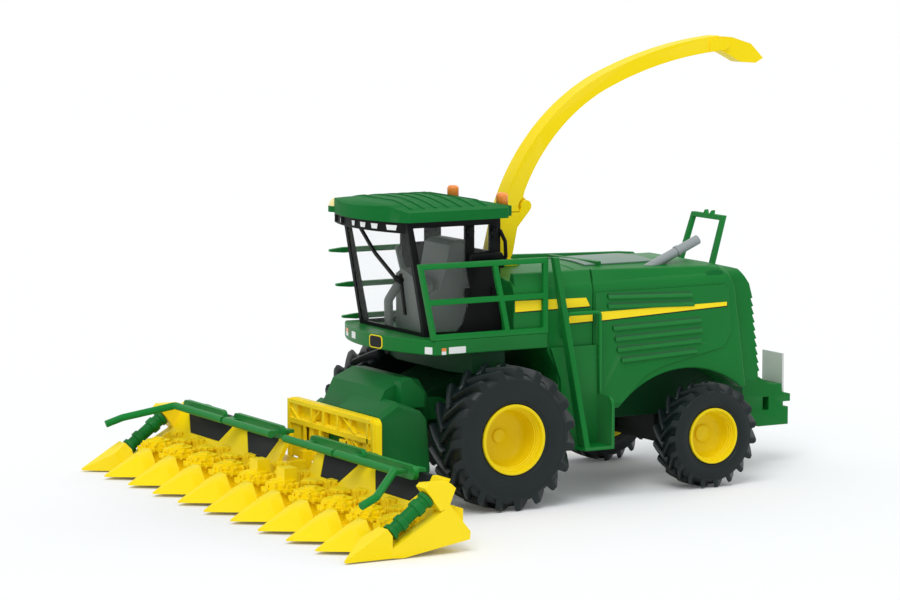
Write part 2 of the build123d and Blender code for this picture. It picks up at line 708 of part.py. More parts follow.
# Attaching frame: a lattice plate hung on the feeder's face, with arms to the header's beam
frame_low = 14.5
frame_high = 38.2
frame_web = 1.2
throat_low = 4.6
throat_half_width = 16.0
lattice_windows = [
    # low z, high z, then the inner and outer x of each window, open through the web or not
    (31.0, 35.6, ((0.0, 5.0), (8.0, 14.2), (17.0, 29.4)), False),
    (17.5, 28.0, ((0.0, 15.2), (18.6, 21.0)), False),
    (18.5, 27.4, ((0.0, 7.5), (22.6, 26.4)), True),
]
lattice_braces = [
    # upper x, upper z, lower x, lower z
    (9.8, 36.8, 20.6, 31.1),
    (18.2, 29.7, 25.3, 25.0),
]
brace_width = 1.6
arm_x = 19.0
arm_half = 2.4
with BuildPart() as attach_frame:
    with BuildSketch(cross_plane(feeder_front_run - panel_gap)):
        with Locations((0, (frame_low + frame_high) / 2)):
            RectangleRounded(2 * frame_half_width, frame_high - frame_low, 3.0)
        for low, high, spans, through in lattice_windows:
            for inner, outer in spans:
                with Locations((0, (low + high) / 2)):
                    if inner == 0:
                        Rectangle(2 * outer, high - low, mode=Mode.SUBTRACT)
                    else:
                        with Locations(((inner + outer) / 2, 0), (-(inner + outer) / 2, 0)):
                            Rectangle(outer - inner, high - low, mode=Mode.SUBTRACT)
    extrude(amount=frame_plate)
    with BuildSketch(cross_plane(feeder_front_run - panel_gap)):
        with Locations((0, (frame_low + frame_high) / 2)):
            Rectangle(2 * frame_half_width - 6, frame_high - frame_low - 4)
        with Locations((0, (throat_low + frame_low) / 2)):
            Rectangle(2 * throat_half_width, frame_low - throat_low + 6)
        for low, high, spans, through in lattice_windows:
            for inner, outer in spans:
                if through:
                    for side in (1, -1):
                        with Locations((side * (inner + outer) / 2, (low + high) / 2)):
                            Rectangle(outer - inner, high - low, mode=Mode.SUBTRACT)
    extrude(amount=frame_web)
    with BuildSketch(cross_plane(feeder_front_run - panel_gap)):
        for top_x, top_z, low_x, low_z in lattice_braces:
            Polygon((top_x - brace_width / 2, top_z), (top_x + brace_width / 2, top_z),
                    (low_x + brace_width / 2, low_z), (low_x - brace_width / 2, low_z), align=None)
    extrude(amount=frame_plate - 0.6)
    for side in (1, -1):
        with BuildSketch(cross_plane(feeder_front_run - panel_gap - frame_plate)):
            with Locations((side * arm_x, 14.5)):
                Rectangle(2 * arm_half, 8)
        extrude(amount=beam_rear_gap - panel_gap)
pieces["attach_frame"] = attach_frame

# Header trough: floor, beam and a raked back wall with notches for its panels
wall_slope = 0.51
wall_bend_z = 14.0
wall_plate = 2.0
wall_peak = 27.0
beam_top = 15.5
wall_foot_run = wall_run - wall_slope * (wall_peak - wall_bend_z)
beam_rear_run = feeder_front_run - panel_gap - frame_plate - beam_rear_gap
trough_half_width = header_half_width - 5.2
feed_half_width = 13.5
outer_panel_x = 0.692 * header_half_width
inner_panel_x = 0.287 * header_half_width
panel_table = [
    # inner top x, outer top x, inner foot x, outer foot x, foot z
    (outer_panel_x - 20.0, outer_panel_x + 21.0, outer_panel_x - 14.0, outer_panel_x + 13.0, 16.6),
    (inner_panel_x - 14.0, inner_panel_x + 14.0, inner_panel_x - 10.0, inner_panel_x + 5.5, 15.4),
]
snout_foot_run = -89.0
wall_slab = side_points(
    (wall_foot_run - wall_plate, trough_floor), (wall_foot_run, trough_floor), (wall_foot_run, wall_bend_z),
    (wall_run, wall_peak), (wall_run - wall_plate, wall_peak), (wall_foot_run - wall_plate, wall_bend_z)
)
with BuildPart() as header_trough:
    with BuildSketch(side_plane(-trough_half_width)):
        Polygon(*wall_slab, align=None)
    extrude(amount=2 * trough_half_width)
    with BuildSketch(cross_plane(wall_run + 6)):
        with Locations((0, wall_peak / 2)):
            Rectangle(2 * trough_half_width, wall_peak)
        with Locations((0, wall_peak)):
            Rectangle(2 * feed_half_width, 2 * (wall_peak - trough_floor - trough_plate),
                      mode=Mode.SUBTRACT)
        for top_in, top_out, foot_in, foot_out, foot_z in panel_table:
            for side in (1, -1):
                Polygon((side * top_in, wall_top), (side * foot_in, foot_z), (side * foot_out, foot_z),
                        (side * top_out, wall_top), (side * top_out, wall_peak + 1),
                        (side * top_in, wall_peak + 1), align=None, mode=Mode.SUBTRACT)
    extrude(amount=26, mode=Mode.INTERSECT)
    with BuildSketch(side_plane(-trough_half_width)):
        Polygon(
            *side_points((snout_foot_run, trough_floor), (beam_rear_run, trough_floor + 3),
                         (beam_rear_run, beam_top), (wall_foot_run - 0.4, beam_top),
                         (wall_foot_run - 0.4, trough_floor + trough_plate),
                         (snout_foot_run, trough_floor + trough_plate)),
            align=None,
        )
    extrude(amount=2 * trough_half_width)
    with BuildSketch(cross_plane(beam_rear_run + 1)):
        with Locations((0, trough_floor + trough_plate + 10)):
            Rectangle(2 * feed_half_width, 20)
    extrude(amount=20, mode=Mode.SUBTRACT)
pieces["header_trough"] = header_trough

with BuildPart() as header_panels:
    with BuildSketch(side_plane(-trough_half_width)):
        Polygon(*wall_slab, align=None)
    extrude(amount=2 * trough_half_width)
    with BuildSketch(cross_plane(wall_run + 6)):
        for top_in, top_out, foot_in, foot_out, foot_z in panel_table:
            for side in (1, -1):
                Polygon((side * (top_in + 0.15), panel_top), (side * (top_in + 0.15), wall_top),
                        (side * (foot_in + 0.15), foot_z + 0.1), (side * (foot_out - 0.15), foot_z + 0.1),
                        (side * (top_out - 0.15), wall_top), (side * (top_out - 0.15), panel_top),
                        align=None)
    extrude(amount=26, mode=Mode.INTERSECT)
pieces["header_panels"] = header_panels

# Snouts: one pointed shell between each pair of rotors
snout_half_width = row_step / 2 - 0.3
snout_valley_run = -94.0
snout_ridge = 11.5
with BuildPart() as snout_form:
    with BuildSketch(cross_plane(tip_run)):
        Polygon((-0.5, 1.2), (0.5, 1.2), (0.5, 1.8), (-0.5, 1.8), align=None)
    with BuildSketch(cross_plane(snout_valley_run)):
        Polygon((-snout_half_width, 1.4), (snout_half_width, 1.4), (3.2, 9.2), (-3.2, 9.2), align=None)
    loft(ruled=True)
    with BuildSketch(cross_plane(snout_valley_run)):
        Polygon((-snout_half_width, 1.4), (snout_half_width, 1.4), (3.2, 9.2), (-3.2, 9.2), align=None)
    with BuildSketch(cross_plane(snout_foot_run - 0.02)):
        Polygon((-snout_half_width, 1.4), (snout_half_width, 1.4), (3.4, snout_ridge), (-3.4, snout_ridge),
                align=None)
    loft(ruled=True)
with BuildPart() as snouts:
    for row in range(1, row_count):
        with Locations((-header_half_width + row * row_step, 0, 0)):
            add(snout_form.part)
pieces["snouts"] = snouts

# Rotors: a toothed plate, a drum and a toothed ring, one to each row, with a small drum behind each pair
rotor_teeth = 9
rotor_height = 9.2
feed_box = (7.0, 5.6, 5.2)
drum_run = -73.8
drum_radius = 3.0
drum_height = 8.4
deck_z = trough_floor + trough_plate
rotor_reach = trough_half_width - rotor_radius - 0.4
rotor_places = [max(-rotor_reach, min(rotor_reach, (row + 0.5) * row_step - header_half_width))
                for row in range(row_count)]
drum_places = [(left + right) / 2 for left, right in zip(rotor_places, rotor_places[1:])
               if abs(left + right) > row_step]
with BuildPart() as rotor_form:
    with BuildSketch(Plane.XY.offset(deck_z)):
        Circle(rotor_radius - 1.4)
        with PolarLocations(rotor_radius - 1.6, rotor_teeth):
            Rectangle(3.2, 2.4)
    extrude(amount=1.4)
    with BuildSketch(Plane.XY.offset(deck_z + 1.4)):
        Circle(rotor_radius * 0.72)
    extrude(amount=rotor_height - 2.8)
    with BuildSketch(Plane.XY.offset(deck_z + 5.2)):
        Circle(rotor_radius * 0.86)
        with PolarLocations(rotor_radius * 0.88, rotor_teeth):
            Rectangle(2.0, 1.8)
    extrude(amount=1.2)
    with BuildSketch(Plane.XY.offset(deck_z + rotor_height - 1.4)):
        Circle(rotor_radius * 0.58)
    extrude(amount=1.4)
with BuildPart() as drum_form:
    with BuildSketch(Plane.XY.offset(deck_z)):
        Circle(drum_radius)
    extrude(amount=1.4)
    with BuildSketch(Plane.XY.offset(deck_z + 1.4)):
        Circle(drum_radius * 0.78)
    extrude(amount=drum_height - 1.4)
    with BuildSketch(Plane.XY.offset(deck_z + drum_height - 2.6)):
        Circle(drum_radius)
    extrude(amount=1.2)
with BuildPart() as rotors:
    with Locations(*[(x, back(rotor_run), 0) for x in rotor_places]):
        add(rotor_form.part)
    with Locations(*[(x, back(drum_run), 0) for x in drum_places]):
        add(drum_form.part)
    with Locations((row_step / 2, back(rotor_run + 1.5), deck_z + rotor_height - 0.4),
                   (-row_step / 2, back(rotor_run + 1.5), deck_z + rotor_height - 0.4)):
        Box(*feed_box, align=(Align.CENTER, Align.CENTER, Align.MIN))
pieces["rotors"] = rotors

# End dividers: a pointed nose, a side plate and an ear that traps the auger's upper end
auger_x = header_half_width - 3.5
auger_foot = (auger_x, -89.0, 9.0)
auger_head = (auger_x, -72.0, 21.7)
auger_length = ((auger_head[1] - auger_foot[1]) ** 2 + (auger_head[2] - auger_foot[2]) ** 2) ** 0.5
nose_inner_x = header_half_width - row_step / 2 + 0.3
with BuildPart() as divider_nose:
    with BuildSketch(side_plane(nose_inner_x)):
        Polygon(*side_points((tip_run, 0.6), (tip_run, 1.4), (-91.3, 11.6), (-89.2, 8.9), (-89.2, 0.6)),
                align=None)
    extrude(amount=header_half_width - nose_inner_x)
    with BuildSketch(Plane.XY):
        Polygon((header_half_width, back(tip_run)), (header_half_width, back(-84)),
                (nose_inner_x, back(-84)), (nose_inner_x, back(snout_valley_run)),
                (header_half_width - 1.2, back(tip_run)), align=None)
    extrude(amount=14, mode=Mode.INTERSECT)
    with BuildSketch(cross_plane(-84)):
        Polygon((header_half_width, 0), (header_half_width, 14), (header_half_width - 5.5, 14),
                (nose_inner_x, 3.2), (nose_inner_x, 0), align=None)
    extrude(amount=26, mode=Mode.INTERSECT)
with BuildPart() as divider_form:
    add(divider_nose.part)
    with BuildSketch(side_plane(trough_half_width + 0.05)):
        Polygon(
            *side_points((-89.3, 0.6), (-84.7, 0.3), (-56.7, 4.8), (-56.5, 7.8), (-65.4, 18.6),
                         (-69.0, 15.6), (-87.5, 5.2), (-89.3, 4.2)),
            align=None,
        )
    extrude(amount=header_half_width - trough_half_width - 0.05)
    with BuildSketch(side_plane(trough_half_width - 2.0)):
        Polygon(
            *side_points((-65.4, 18.0), (-62.7, 24.4), (-65, 26.4), (-74.2, 26.5), (-75.6, 25.2),
                         (-69.0, 16.2)),
            align=None,
        )
    extrude(amount=header_half_width - trough_half_width + 2.0)
    add(header_trough.part, mode=Mode.SUBTRACT)
with BuildPart() as end_dividers:
    add(divider_form.part)
    mirror(divider_form.part, about=Plane.YZ)
pieces["end_dividers"] = end_dividers

# Augers: stepped cones between nose and ear
auger_steps = [
    # start share, end share, radius
    (0.02, 0.10, 3.3),
    (0.10, 0.24, 2.5),
    (0.24, 0.36, 3.2),
    (0.36, 0.62, 2.6),
    (0.62, 0.76, 3.3),
    (0.76, 0.86, 2.7),
    (0.86, 0.94, 3.4),
]
auger_plane = Plane(
    origin=(auger_foot[0], back(auger_foot[1]), auger_foot[2]),
    x_dir=(1, 0, 0),
    z_dir=(0, auger_head[1] - auger_foot[1], auger_head[2] - auger_foot[2]),
)
with BuildPart() as auger_form:
    for start, end, radius in auger_steps:
        with BuildSketch(auger_plane.offset(start * auger_length)):
            Circle(radius)
        extrude(amount=(end - start) * auger_length)
with BuildPart() as augers:
    add(auger_form.part)
    mirror(auger_form.part, about=Plane.YZ)
pieces["augers"] = augers

# Header rails: bent tubes over the back wall, on flat straps with rounded lobes behind
rail_tube_z = wall_peak + rail_tube_radius
header_rail_run = -76.0
rail_front_x = header_half_width - 6.5
rail_bend_x = header_half_width - 23.0
rail_gap_x = 48.5
strap_table = [(15.7, 2.2), (rail_gap_x + 5.0, 3.5), (rail_bend_x - 3.5, 2.6)]
lobe_table = [
    # inner x, outer x, run
    (12.0, rail_gap_x + 7.5, -67.2),
    (rail_gap_x + 13.0, rail_bend_x + 4.5, -69.0),
]
with BuildPart() as header_rails:
    for side in (1, -1):
        with BuildLine() as inner_route:
            Line((side * 6.0, back(header_rail_run), rail_tube_z),
                 (side * (rail_gap_x - 1.0), back(header_rail_run), rail_tube_z))
        with BuildSketch(Plane(origin=inner_route.line @ 0, z_dir=inner_route.line % 0)):
            Circle(rail_tube_radius)
        sweep(path=inner_route.line)
        with BuildLine() as outer_route:
            FilletPolyline(
                (side * (rail_gap_x + 1.0), back(header_rail_run), rail_tube_z),
                (side * rail_bend_x, back(header_rail_run), rail_tube_z),
                (side * rail_front_x, back(-92.5), rail_tube_z - 6.0),
                (side * (rail_front_x + 1.6), back(-99.5), rail_tube_z - 8.5),
                radius=2.5,
            )
        with BuildSketch(Plane(origin=outer_route.line @ 0, z_dir=outer_route.line % 0)):
            Circle(rail_tube_radius)
        sweep(path=outer_route.line)
        for strap_x, strap_half in strap_table:
            with BuildSketch(Plane.XY.offset(wall_peak)):
                with Locations((side * strap_x, back((wall_run + header_rail_run) / 2))):
                    Rectangle(2 * strap_half, wall_run - header_rail_run)
            extrude(amount=1.4)
        for lobe_in, lobe_out, lobe_run in lobe_table:
            with BuildSketch(cross_plane(lobe_run + 1.0)):
                with Locations((side * (lobe_in + lobe_out) / 2, wall_peak + 0.6)):
                    RectangleRounded(lobe_out - lobe_in, 5.2, 2.4)
            extrude(amount=2.0)
pieces["header_rails"] = header_rails

# Louvred side panels that lie on the hood
louvre_table = [
    # front run, rear run, front z, rear z
    (53.5, 93.5, 80.4, 79.0),
    (53.5, 94.5, 76.6, 75.4),
    (56.0, 98.0, 67.4, 68.4),
    (57.0, 98.5, 63.0, 64.2),
    (58.0, 98.0, 58.6, 60.0),
    (60.0, 96.0, 54.2, 55.8),
]
louvre_height = 2.2
with BuildPart() as side_panels:
    with BuildSketch(side_plane(body_half_width)):
        Polygon(*side_points((72, 46.8), (61, 36.6), (hood_split_run + 0.6, 36.6),
                             (hood_split_run + 0.6, 82.0), (110.5, 82.0), (112.4, 80.0), (114.0, 62.4),
                             (110, 56.4), (80, 50.2)), align=None)
        for front, rear, front_z, rear_z in louvre_table:
            with Locations((back((front + rear) / 2), (front_z + rear_z) / 2)):
                SlotOverall(rear - front, louvre_height,
                            rotation=degrees(atan2(rear_z - front_z, rear - front)), mode=Mode.SUBTRACT)
    extrude(amount=panel_proud)
    mirror(about=Plane.YZ)
pieces["side_panels"] = side_panels

# Grille panels on the hood's crown
grille_half_width = 16.0
crown_radius = (crown_half_width ** 2 + crown_drop ** 2) / (2 * crown_drop)
grille_edge_drop = crown_radius - (crown_radius ** 2 - grille_half_width ** 2) ** 0.5
with BuildPart() as top_grille:
    with BuildSketch(cross_plane(55.5)):
        with BuildLine():
            ThreePointArc((-grille_half_width, body_top - grille_edge_drop + 0.02), (0, body_top + 0.02),
                          (grille_half_width, body_top - grille_edge_drop + 0.02))
            Line((grille_half_width, body_top - grille_edge_drop + 0.02),
                 (grille_half_width, body_top - grille_edge_drop + 0.6))
            ThreePointArc((grille_half_width, body_top - grille_edge_drop + 0.6), (0, body_top + 0.6),
                          (-grille_half_width, body_top - grille_edge_drop + 0.6))
            Line((-grille_half_width, body_top - grille_edge_drop + 0.6),
                 (-grille_half_width, body_top - grille_edge_drop + 0.02))
        make_face()
    extrude(amount=-34.0)
pieces["top_grille"] = top_grille

# Rear grille: a box on the hood's rear face with a serrated row of louvres
rear_louvre_count = 10
rear_louvre_low = 44.0
rear_louvre_pitch = 3.4
rear_louvre_depth = 0.9
rear_lean = (131.0 - 126.0) / (81.0 - 41.5)
louvre_edge = []
for step in range(rear_louvre_count):
    louvre_z = rear_louvre_low + step * rear_louvre_pitch
    louvre_run = 131.0 - (louvre_z - 41.5) * rear_lean
    louvre_edge += [(louvre_run, louvre_z), (louvre_run + rear_louvre_depth, louvre_z + 0.4)]
with BuildPart() as rear_grille:
    with BuildSketch(side_plane(-rear_grille_half_width)):
        Polygon(
            *side_points((hood_rear_low_run + panel_gap, 41.0), (131.0, 41.0), *louvre_edge, (126.0, 81.0),
                         (121.5, 87.2), (hood_rear_top_run + panel_gap, 89.6),
                         (hood_rear_mid_run + panel_gap, 80.7)),
            align=None,
        )
    extrude(amount=2 * rear_grille_half_width)
    with BuildSketch(cross_plane(100)):
        add(grille_outline)
    extrude(amount=-40, mode=Mode.INTERSECT)
pieces["rear_grille"] = rear_grille

# Exhaust: a raked pipe with a collar and a slanted mouth
exhaust_x = 20.0
exhaust_foot = (exhaust_x, back(82.0), 88.0)
exhaust_rise = (0, 23.0, 10.0)
exhaust_radius = 2.0
collar_start = 16.5
exhaust_plane = Plane(origin=exhaust_foot, x_dir=(1, 0, 0), z_dir=exhaust_rise)
with BuildPart() as exhaust:
    with BuildSketch(exhaust_plane):
        Circle(exhaust_radius)
    extrude(amount=28.0)
    with BuildSketch(exhaust_plane.offset(collar_start)):
        Circle(exhaust_radius + 0.35)
    extrude(amount=1.4)
    with BuildSketch(exhaust_plane.offset(19.0)):
        Circle(exhaust_radius - 0.5)
    extrude(amount=12.0, mode=Mode.SUBTRACT)
    with BuildSketch(side_plane(exhaust_x - 5)):
        Polygon(*side_points((110.6, 97.0), (106.2, 102.5), (120, 110), (120, 90)), align=None)
    extrude(amount=10, mode=Mode.SUBTRACT)
    add(hood.part, mode=Mode.SUBTRACT)
pieces["exhaust"] = exhaust

# Spout cradle: a leaning hoop with two prongs that locate the lowered spout
cradle_half_width = 12.0
cradle_foot_run = 119.5
cradle_head_run = 127.5
cradle_head_z = 107.5
cradle_bar = 2.0
with BuildPart() as spout_cradle:
    with BuildSketch(cross_plane(100)):
        Polygon((-cradle_half_width - 1, 84), (cradle_half_width + 1, 84),
                (cradle_half_width, cradle_head_z), (-cradle_half_width, cradle_head_z), align=None)
        Polygon((-cradle_half_width - 1 + cradle_bar, 80), (cradle_half_width + 1 - cradle_bar, 80),
                (cradle_half_width - cradle_bar, cradle_head_z - cradle_bar),
                (-cradle_half_width + cradle_bar, cradle_head_z - cradle_bar), align=None,
                mode=Mode.SUBTRACT)
        for side in (1, -1):
            Polygon((side * 1.0, cradle_head_z - 0.5), (side * 3.2, cradle_head_z - 0.5),
                    (side * 2.6, cradle_head_z + 1.6), align=None)
    extrude(amount=-60)
    with BuildSketch(side_plane(-20)):
        Polygon(*side_points((cradle_foot_run - 1.4, 84), (cradle_foot_run + 0.8, 84),
                             (cradle_head_run + 1.0, cradle_head_z + 3),
                             (cradle_head_run - 1.0, cradle_head_z + 3)), align=None)
    extrude(amount=40, mode=Mode.INTERSECT)
    add(rear_grille.part, mode=Mode.SUBTRACT)
    add(hood.part, mode=Mode.SUBTRACT)
pieces["spout_cradle"] = spout_cradle

# Rear hitch: a block with a clevis for a drawbar pin, and the plate that stands on it
hitch_half_width = 10.0
hitch_pin_radius = 1.5
hitch_pin_run = 155.2
hitch_bottom = 17.0
hitch_slot_low = 24.6
hitch_slot_high = 26.8
hitch_window = (back(reach_behind - 12.6), 26.6)
hitch_window_depth = 4.0
with BuildPart() as rear_hitch:
    with BuildSketch(side_plane(-hitch_half_width)):
        Polygon(
            *side_points((133.3, 40.6), (141.6, 40.6), (152.0, 34.6), (157.4, 34.6), (157.8, 31.0),
                         (reach_behind, 30.0), (reach_behind, hitch_slot_high), (158.4, hitch_slot_high),
                         (158.4, hitch_slot_low), (161.0, hitch_slot_low), (161.0, hitch_bottom),
                         (145.5, hitch_bottom), (140.0, 24.0), (133.3, 31.0)),
            align=None,
        )
    extrude(amount=2 * hitch_half_width)
    with BuildSketch(Plane.XY.offset(hitch_slot_low)):
        with Locations((0, back(hitch_pin_run + 1))):
            Rectangle(10, 11)
    extrude(amount=hitch_slot_high - hitch_slot_low, mode=Mode.SUBTRACT)
    with BuildSketch(Plane.XY.offset(hitch_bottom)):
        with Locations((0, back(hitch_pin_run))):
            Circle(hitch_pin_radius)
    extrude(amount=20, mode=Mode.SUBTRACT)
    with BuildSketch(side_plane(-hitch_half_width)):
        with Locations(hitch_window):
            Rectangle(3.0, 5.6)
    extrude(amount=hitch_window_depth, mode=Mode.SUBTRACT)
    with BuildSketch(side_plane(hitch_half_width)):
        with Locations(hitch_window):
            Rectangle(3.0, 5.6)
    extrude(amount=-hitch_window_depth, mode=Mode.SUBTRACT)
pieces["rear_hitch"] = rear_hitch

with BuildPart() as rear_plate:
    with BuildSketch(Plane.XY.offset(30.0)):
        with Locations((0, back(reach_behind - 2.1))):
            Rectangle(15.0, 0.9)
    extrude(amount=17.0)
    add(rear_hitch.part, mode=Mode.SUBTRACT)
pieces["rear_plate"] = rear_plate

# Side rails on the platform: a closed frame on the left, and free rungs before leaning posts on the right
rail_bar = 2.2
rail_thickness = 2.0
rail_front_foot = -27.4
rail_front_head = -33.6
rail_mid_foot = 6.0
rung_post_foot = 18.0
rung_low_rise = 0.6
rung_taper = 6.0
rung_tip_height = 1.0
rail_lean = (rail_front_head - rail_front_foot) / (rail_top - platform_top)


def rail_run(foot, height):
    """Run of a leaning post that starts at foot on the platform, at this height."""
    return foot + rail_lean * (height - platform_top)


low_bar_top = platform_top + rail_bar
rail_rows = [(low_bar_top, rail_mid - rail_bar / 2), (rail_mid + rail_bar / 2, rail_top - rail_bar / 2)]
with BuildPart() as rail_left:
    with BuildSketch(side_plane(rail_x - rail_thickness / 2)):
        Polygon(
            *side_points((rail_front_foot, platform_top),
                         (rail_run(rail_front_foot, rail_top), rail_top + rail_bar / 2),
                         (rail_rear_run, rail_top + rail_bar / 2), (rail_rear_run, platform_top)),
            align=None,
        )
        for low, high in rail_rows:
            Polygon(
                *side_points((rail_run(rail_front_foot, low) + rail_bar, low),
                             (rail_run(rail_front_foot, high) + rail_bar, high),
                             (rail_run(rail_mid_foot, high), high), (rail_run(rail_mid_foot, low), low)),
                align=None, mode=Mode.SUBTRACT,
            )
            Polygon(
                *side_points((rail_run(rail_mid_foot, low) + rail_bar, low),
                             (rail_run(rail_mid_foot, high) + rail_bar, high),
                             (rail_rear_run - rail_bar, high), (rail_rear_run - rail_bar, low)),
                align=None, mode=Mode.SUBTRACT,
            )
    extrude(amount=rail_thickness)
with BuildPart() as rail_right:
    with BuildSketch(side_plane(-rail_x - rail_thickness / 2)):
        for rung_z in (platform_top + rung_low_rise + rail_bar / 2, rail_mid, rail_top):
            tip = rail_run(rail_front_foot, rung_z)
            Polygon(
                *side_points((tip, rung_z - rung_tip_height / 2), (tip, rung_z + rung_tip_height / 2),
                             (tip + rung_taper, rung_z + rail_bar / 2), (rail_rear_run, rung_z + rail_bar / 2),
                             (rail_rear_run, rung_z - rail_bar / 2), (tip + rung_taper, rung_z - rail_bar / 2)),
                align=None,
            )
        Polygon(
            *side_points((rung_post_foot, platform_top), (rung_post_foot + rail_bar, platform_top),
                         (rail_run(rung_post_foot, rail_top) + rail_bar, rail_top),
                         (rail_run(rung_post_foot, rail_top), rail_top)),
            align=None,
        )
        Polygon(
            *side_points((rail_rear_run - rail_bar, platform_top), (rail_rear_run, platform_top),
                         (rail_rear_run, rail_top), (rail_rear_run - rail_bar, rail_top)),
            align=None,
        )
    extrude(amount=rail_thickness)
pieces["rail_left"] = rail_left
pieces["rail_right"] = rail_right

# Stair on the left: a back panel, a floor, a rounded rear panel and a slanted front stringer
stair_inner_x = body_half_width + panel_proud + 0.05
stair_top = platform_top - platform_fascia - panel_gap
with BuildPart() as stairs:
    with BuildSketch(side_plane(stair_inner_x)):
        Polygon(*side_points((32.5, stair_floor), (stair_rear_run, stair_floor), (stair_rear_run, stair_top),
                             (26.6, stair_top), (31.2, 48)), align=None)
    extrude(amount=stair_plate)
    with BuildSketch(Plane.XY.offset(stair_floor)):
        Polygon((stair_inner_x, back(32.5)), (stair_outer_x, back(36.0)),
                (stair_outer_x, back(stair_rear_run)), (stair_inner_x, back(stair_rear_run)), align=None)
    extrude(amount=stair_plate)
    with BuildSketch(cross_plane(stair_rear_run)):
        with BuildLine():
            Polyline((stair_inner_x, stair_floor), (stair_outer_x, stair_floor), (stair_outer_x, 37.5))
            ThreePointArc((stair_outer_x, 37.5), (stair_outer_x - 1.2, 40.4), (stair_outer_x - 4.0, 41.6))
            Polyline((stair_outer_x - 4.0, 41.6), (stair_inner_x, 41.6), (stair_inner_x, stair_floor))
        make_face()
    extrude(amount=stair_plate)
    with BuildSketch(Plane.XY.offset(stair_floor)):
        with Locations((46.4, back(37.2))):
            Rectangle(5.2, 2.4)
    with BuildSketch(Plane.XY.offset(rail_top + rail_bar / 2)):
        with Locations((39.4, back(27.2))):
            Rectangle(2.6, 2.4)
    loft(ruled=True)
pieces["stairs"] = stairs

handrail_radius = 0.8
handrail_x = stair_inner_x + stair_plate + handrail_radius + 0.05
with BuildPart() as stair_handrail:
    with BuildLine() as handrail_route:
        FilletPolyline((body_half_width + 0.05, back(33.5), 65.0), (handrail_x, back(33.5), 65.0),
                       (handrail_x, back(33.5), 74.5), (handrail_x, back(48.9), 74.5),
                       (handrail_x, back(48.9), 41.7), radius=1.4)
    with BuildSketch(Plane(origin=handrail_route.line @ 0, z_dir=handrail_route.line % 0)):
        Circle(handrail_radius)
    sweep(path=handrail_route.line)
pieces["stair_handrail"] = stair_handrail

# Cab glass: a pane in each window, set in the thickness of the frame
screen_slope = (screen_head_run - screen_foot_run) / (cab_top - platform_top)


def screen_run(height):
    """Run of the windscreen's outer face at this height."""
    return screen_foot_run + screen_slope * (height - platform_top)


with BuildPart() as cab_glass:
    with BuildSketch(side_plane(-cab_half_width + pillar + glass_gap)):
        Polygon(*side_points(*[(screen_run(z) + shift, z)
                               for z, shift in ((screen_low + glass_gap, glass_inset),
                                                (screen_high - glass_gap, glass_inset),
                                                (screen_high - glass_gap, glass_inset + glass_thickness),
                                                (screen_low + glass_gap, glass_inset + glass_thickness))]),
                align=None)
    extrude(amount=2 * (cab_half_width - pillar - glass_gap))
    for side in (1, -1):
        with BuildSketch(side_plane(side * (cab_half_width - 0.75))):
            Polygon(*door_window, align=None)
            Polygon(*quarter_window, align=None)
            offset(amount=-glass_gap)
        extrude(amount=glass_thickness / 2, both=True)
    with BuildSketch(cross_plane(cab_rear_run - glass_inset)):
        with Locations((0, rear_window_z)):
            Rectangle(2 * (cab_half_width - 6 - glass_gap), rear_window_height - 2 * glass_gap)
    extrude(amount=glass_thickness)
pieces["cab_glass"] = cab_glass

# Cab interior: a seat with a console before it and a bent arm, all moulded as one, and a lever
seat_left_x = 11.0
seat_right_x = -9.5
console_left_x = 9.0
console_right_x = -11.0
console_front_run = -17.0
console_rear_run = -11.0
arm_x_centre = -9.0
arm_radius = 1.8
with BuildPart() as cab_interior:
    with BuildSketch(side_plane(seat_right_x)):
        Polygon(*side_points((-12, platform_top), (-13.6, 82.5), (-9, 84.5), (-6.2, 93), (-4.6, 101.6),
                             (-2, 103.4), (3.2, 103.4), (6.8, 92), (5.6, 84), (2.4, platform_top)),
                align=None)
    extrude(amount=seat_left_x - seat_right_x)
    chamfer(cab_interior.edges().filter_by(Axis.X, reverse=True).group_by(Axis.Z)[-1], 1.2)
    with BuildSketch(cross_plane(console_rear_run)):
        Polygon((console_right_x, platform_top), (console_left_x, platform_top), (console_left_x, 86.0),
                (console_left_x - 3, 88.0), (console_right_x + 5, 91.5), (console_right_x, 89.0), align=None)
    extrude(amount=console_rear_run - console_front_run)
    with BuildLine() as arm_route:
        FilletPolyline((arm_x_centre, back(-21.2), platform_top), (arm_x_centre, back(-21.6), 78.5),
                       (arm_x_centre, back(-17.6), 84.0), (arm_x_centre, back(-14.0), 85.5), radius=2.6)
    with BuildSketch(Plane(origin=arm_route.line @ 0, z_dir=arm_route.line % 0)):
        Circle(arm_radius)
    sweep(path=arm_route.line)
    with BuildSketch(Plane.XY.offset(platform_top - 3)):
        with Locations((0, back(-8))):
            Rectangle(60, 60)
    extrude(amount=3, mode=Mode.SUBTRACT)
pieces["cab_interior"] = cab_interior

lever_foot = (-8.0, back(-15.2), 90.0)
lever_length = 10.5
lever_plane = Plane(origin=lever_foot, x_dir=(1, 0, 0), z_dir=(-0.1, -0.25, 1))
with BuildPart() as steering_column:
    with BuildSketch(lever_plane):
        RectangleRounded(1.8, 2.4, 0.5)
    with BuildSketch(lever_plane.offset(lever_length)):
        RectangleRounded(1.3, 1.6, 0.4)
    loft(ruled=True)
    add(cab_interior.part, mode=Mode.SUBTRACT)
pieces["steering_column"] = steering_column

# Lamps
with BuildPart() as work_lamps:
    for lamp_x in (-25.2, -18.6, -11.4, -4.0, 4.0, 11.4, 18.6, 25.2):
        lamp_run = -41.4 + 5.4 * (lamp_x / 28.0) ** 2
        with BuildSketch(cross_plane(lamp_run - 0.25)):
            with Locations((lamp_x, cab_top - bar_height / 2)):
                RectangleRounded(4.4, 2.4, 0.5)
        extrude(amount=0.6)
    add(lamp_bar.part, mode=Mode.SUBTRACT)
pieces["work_lamps"] = work_lamps

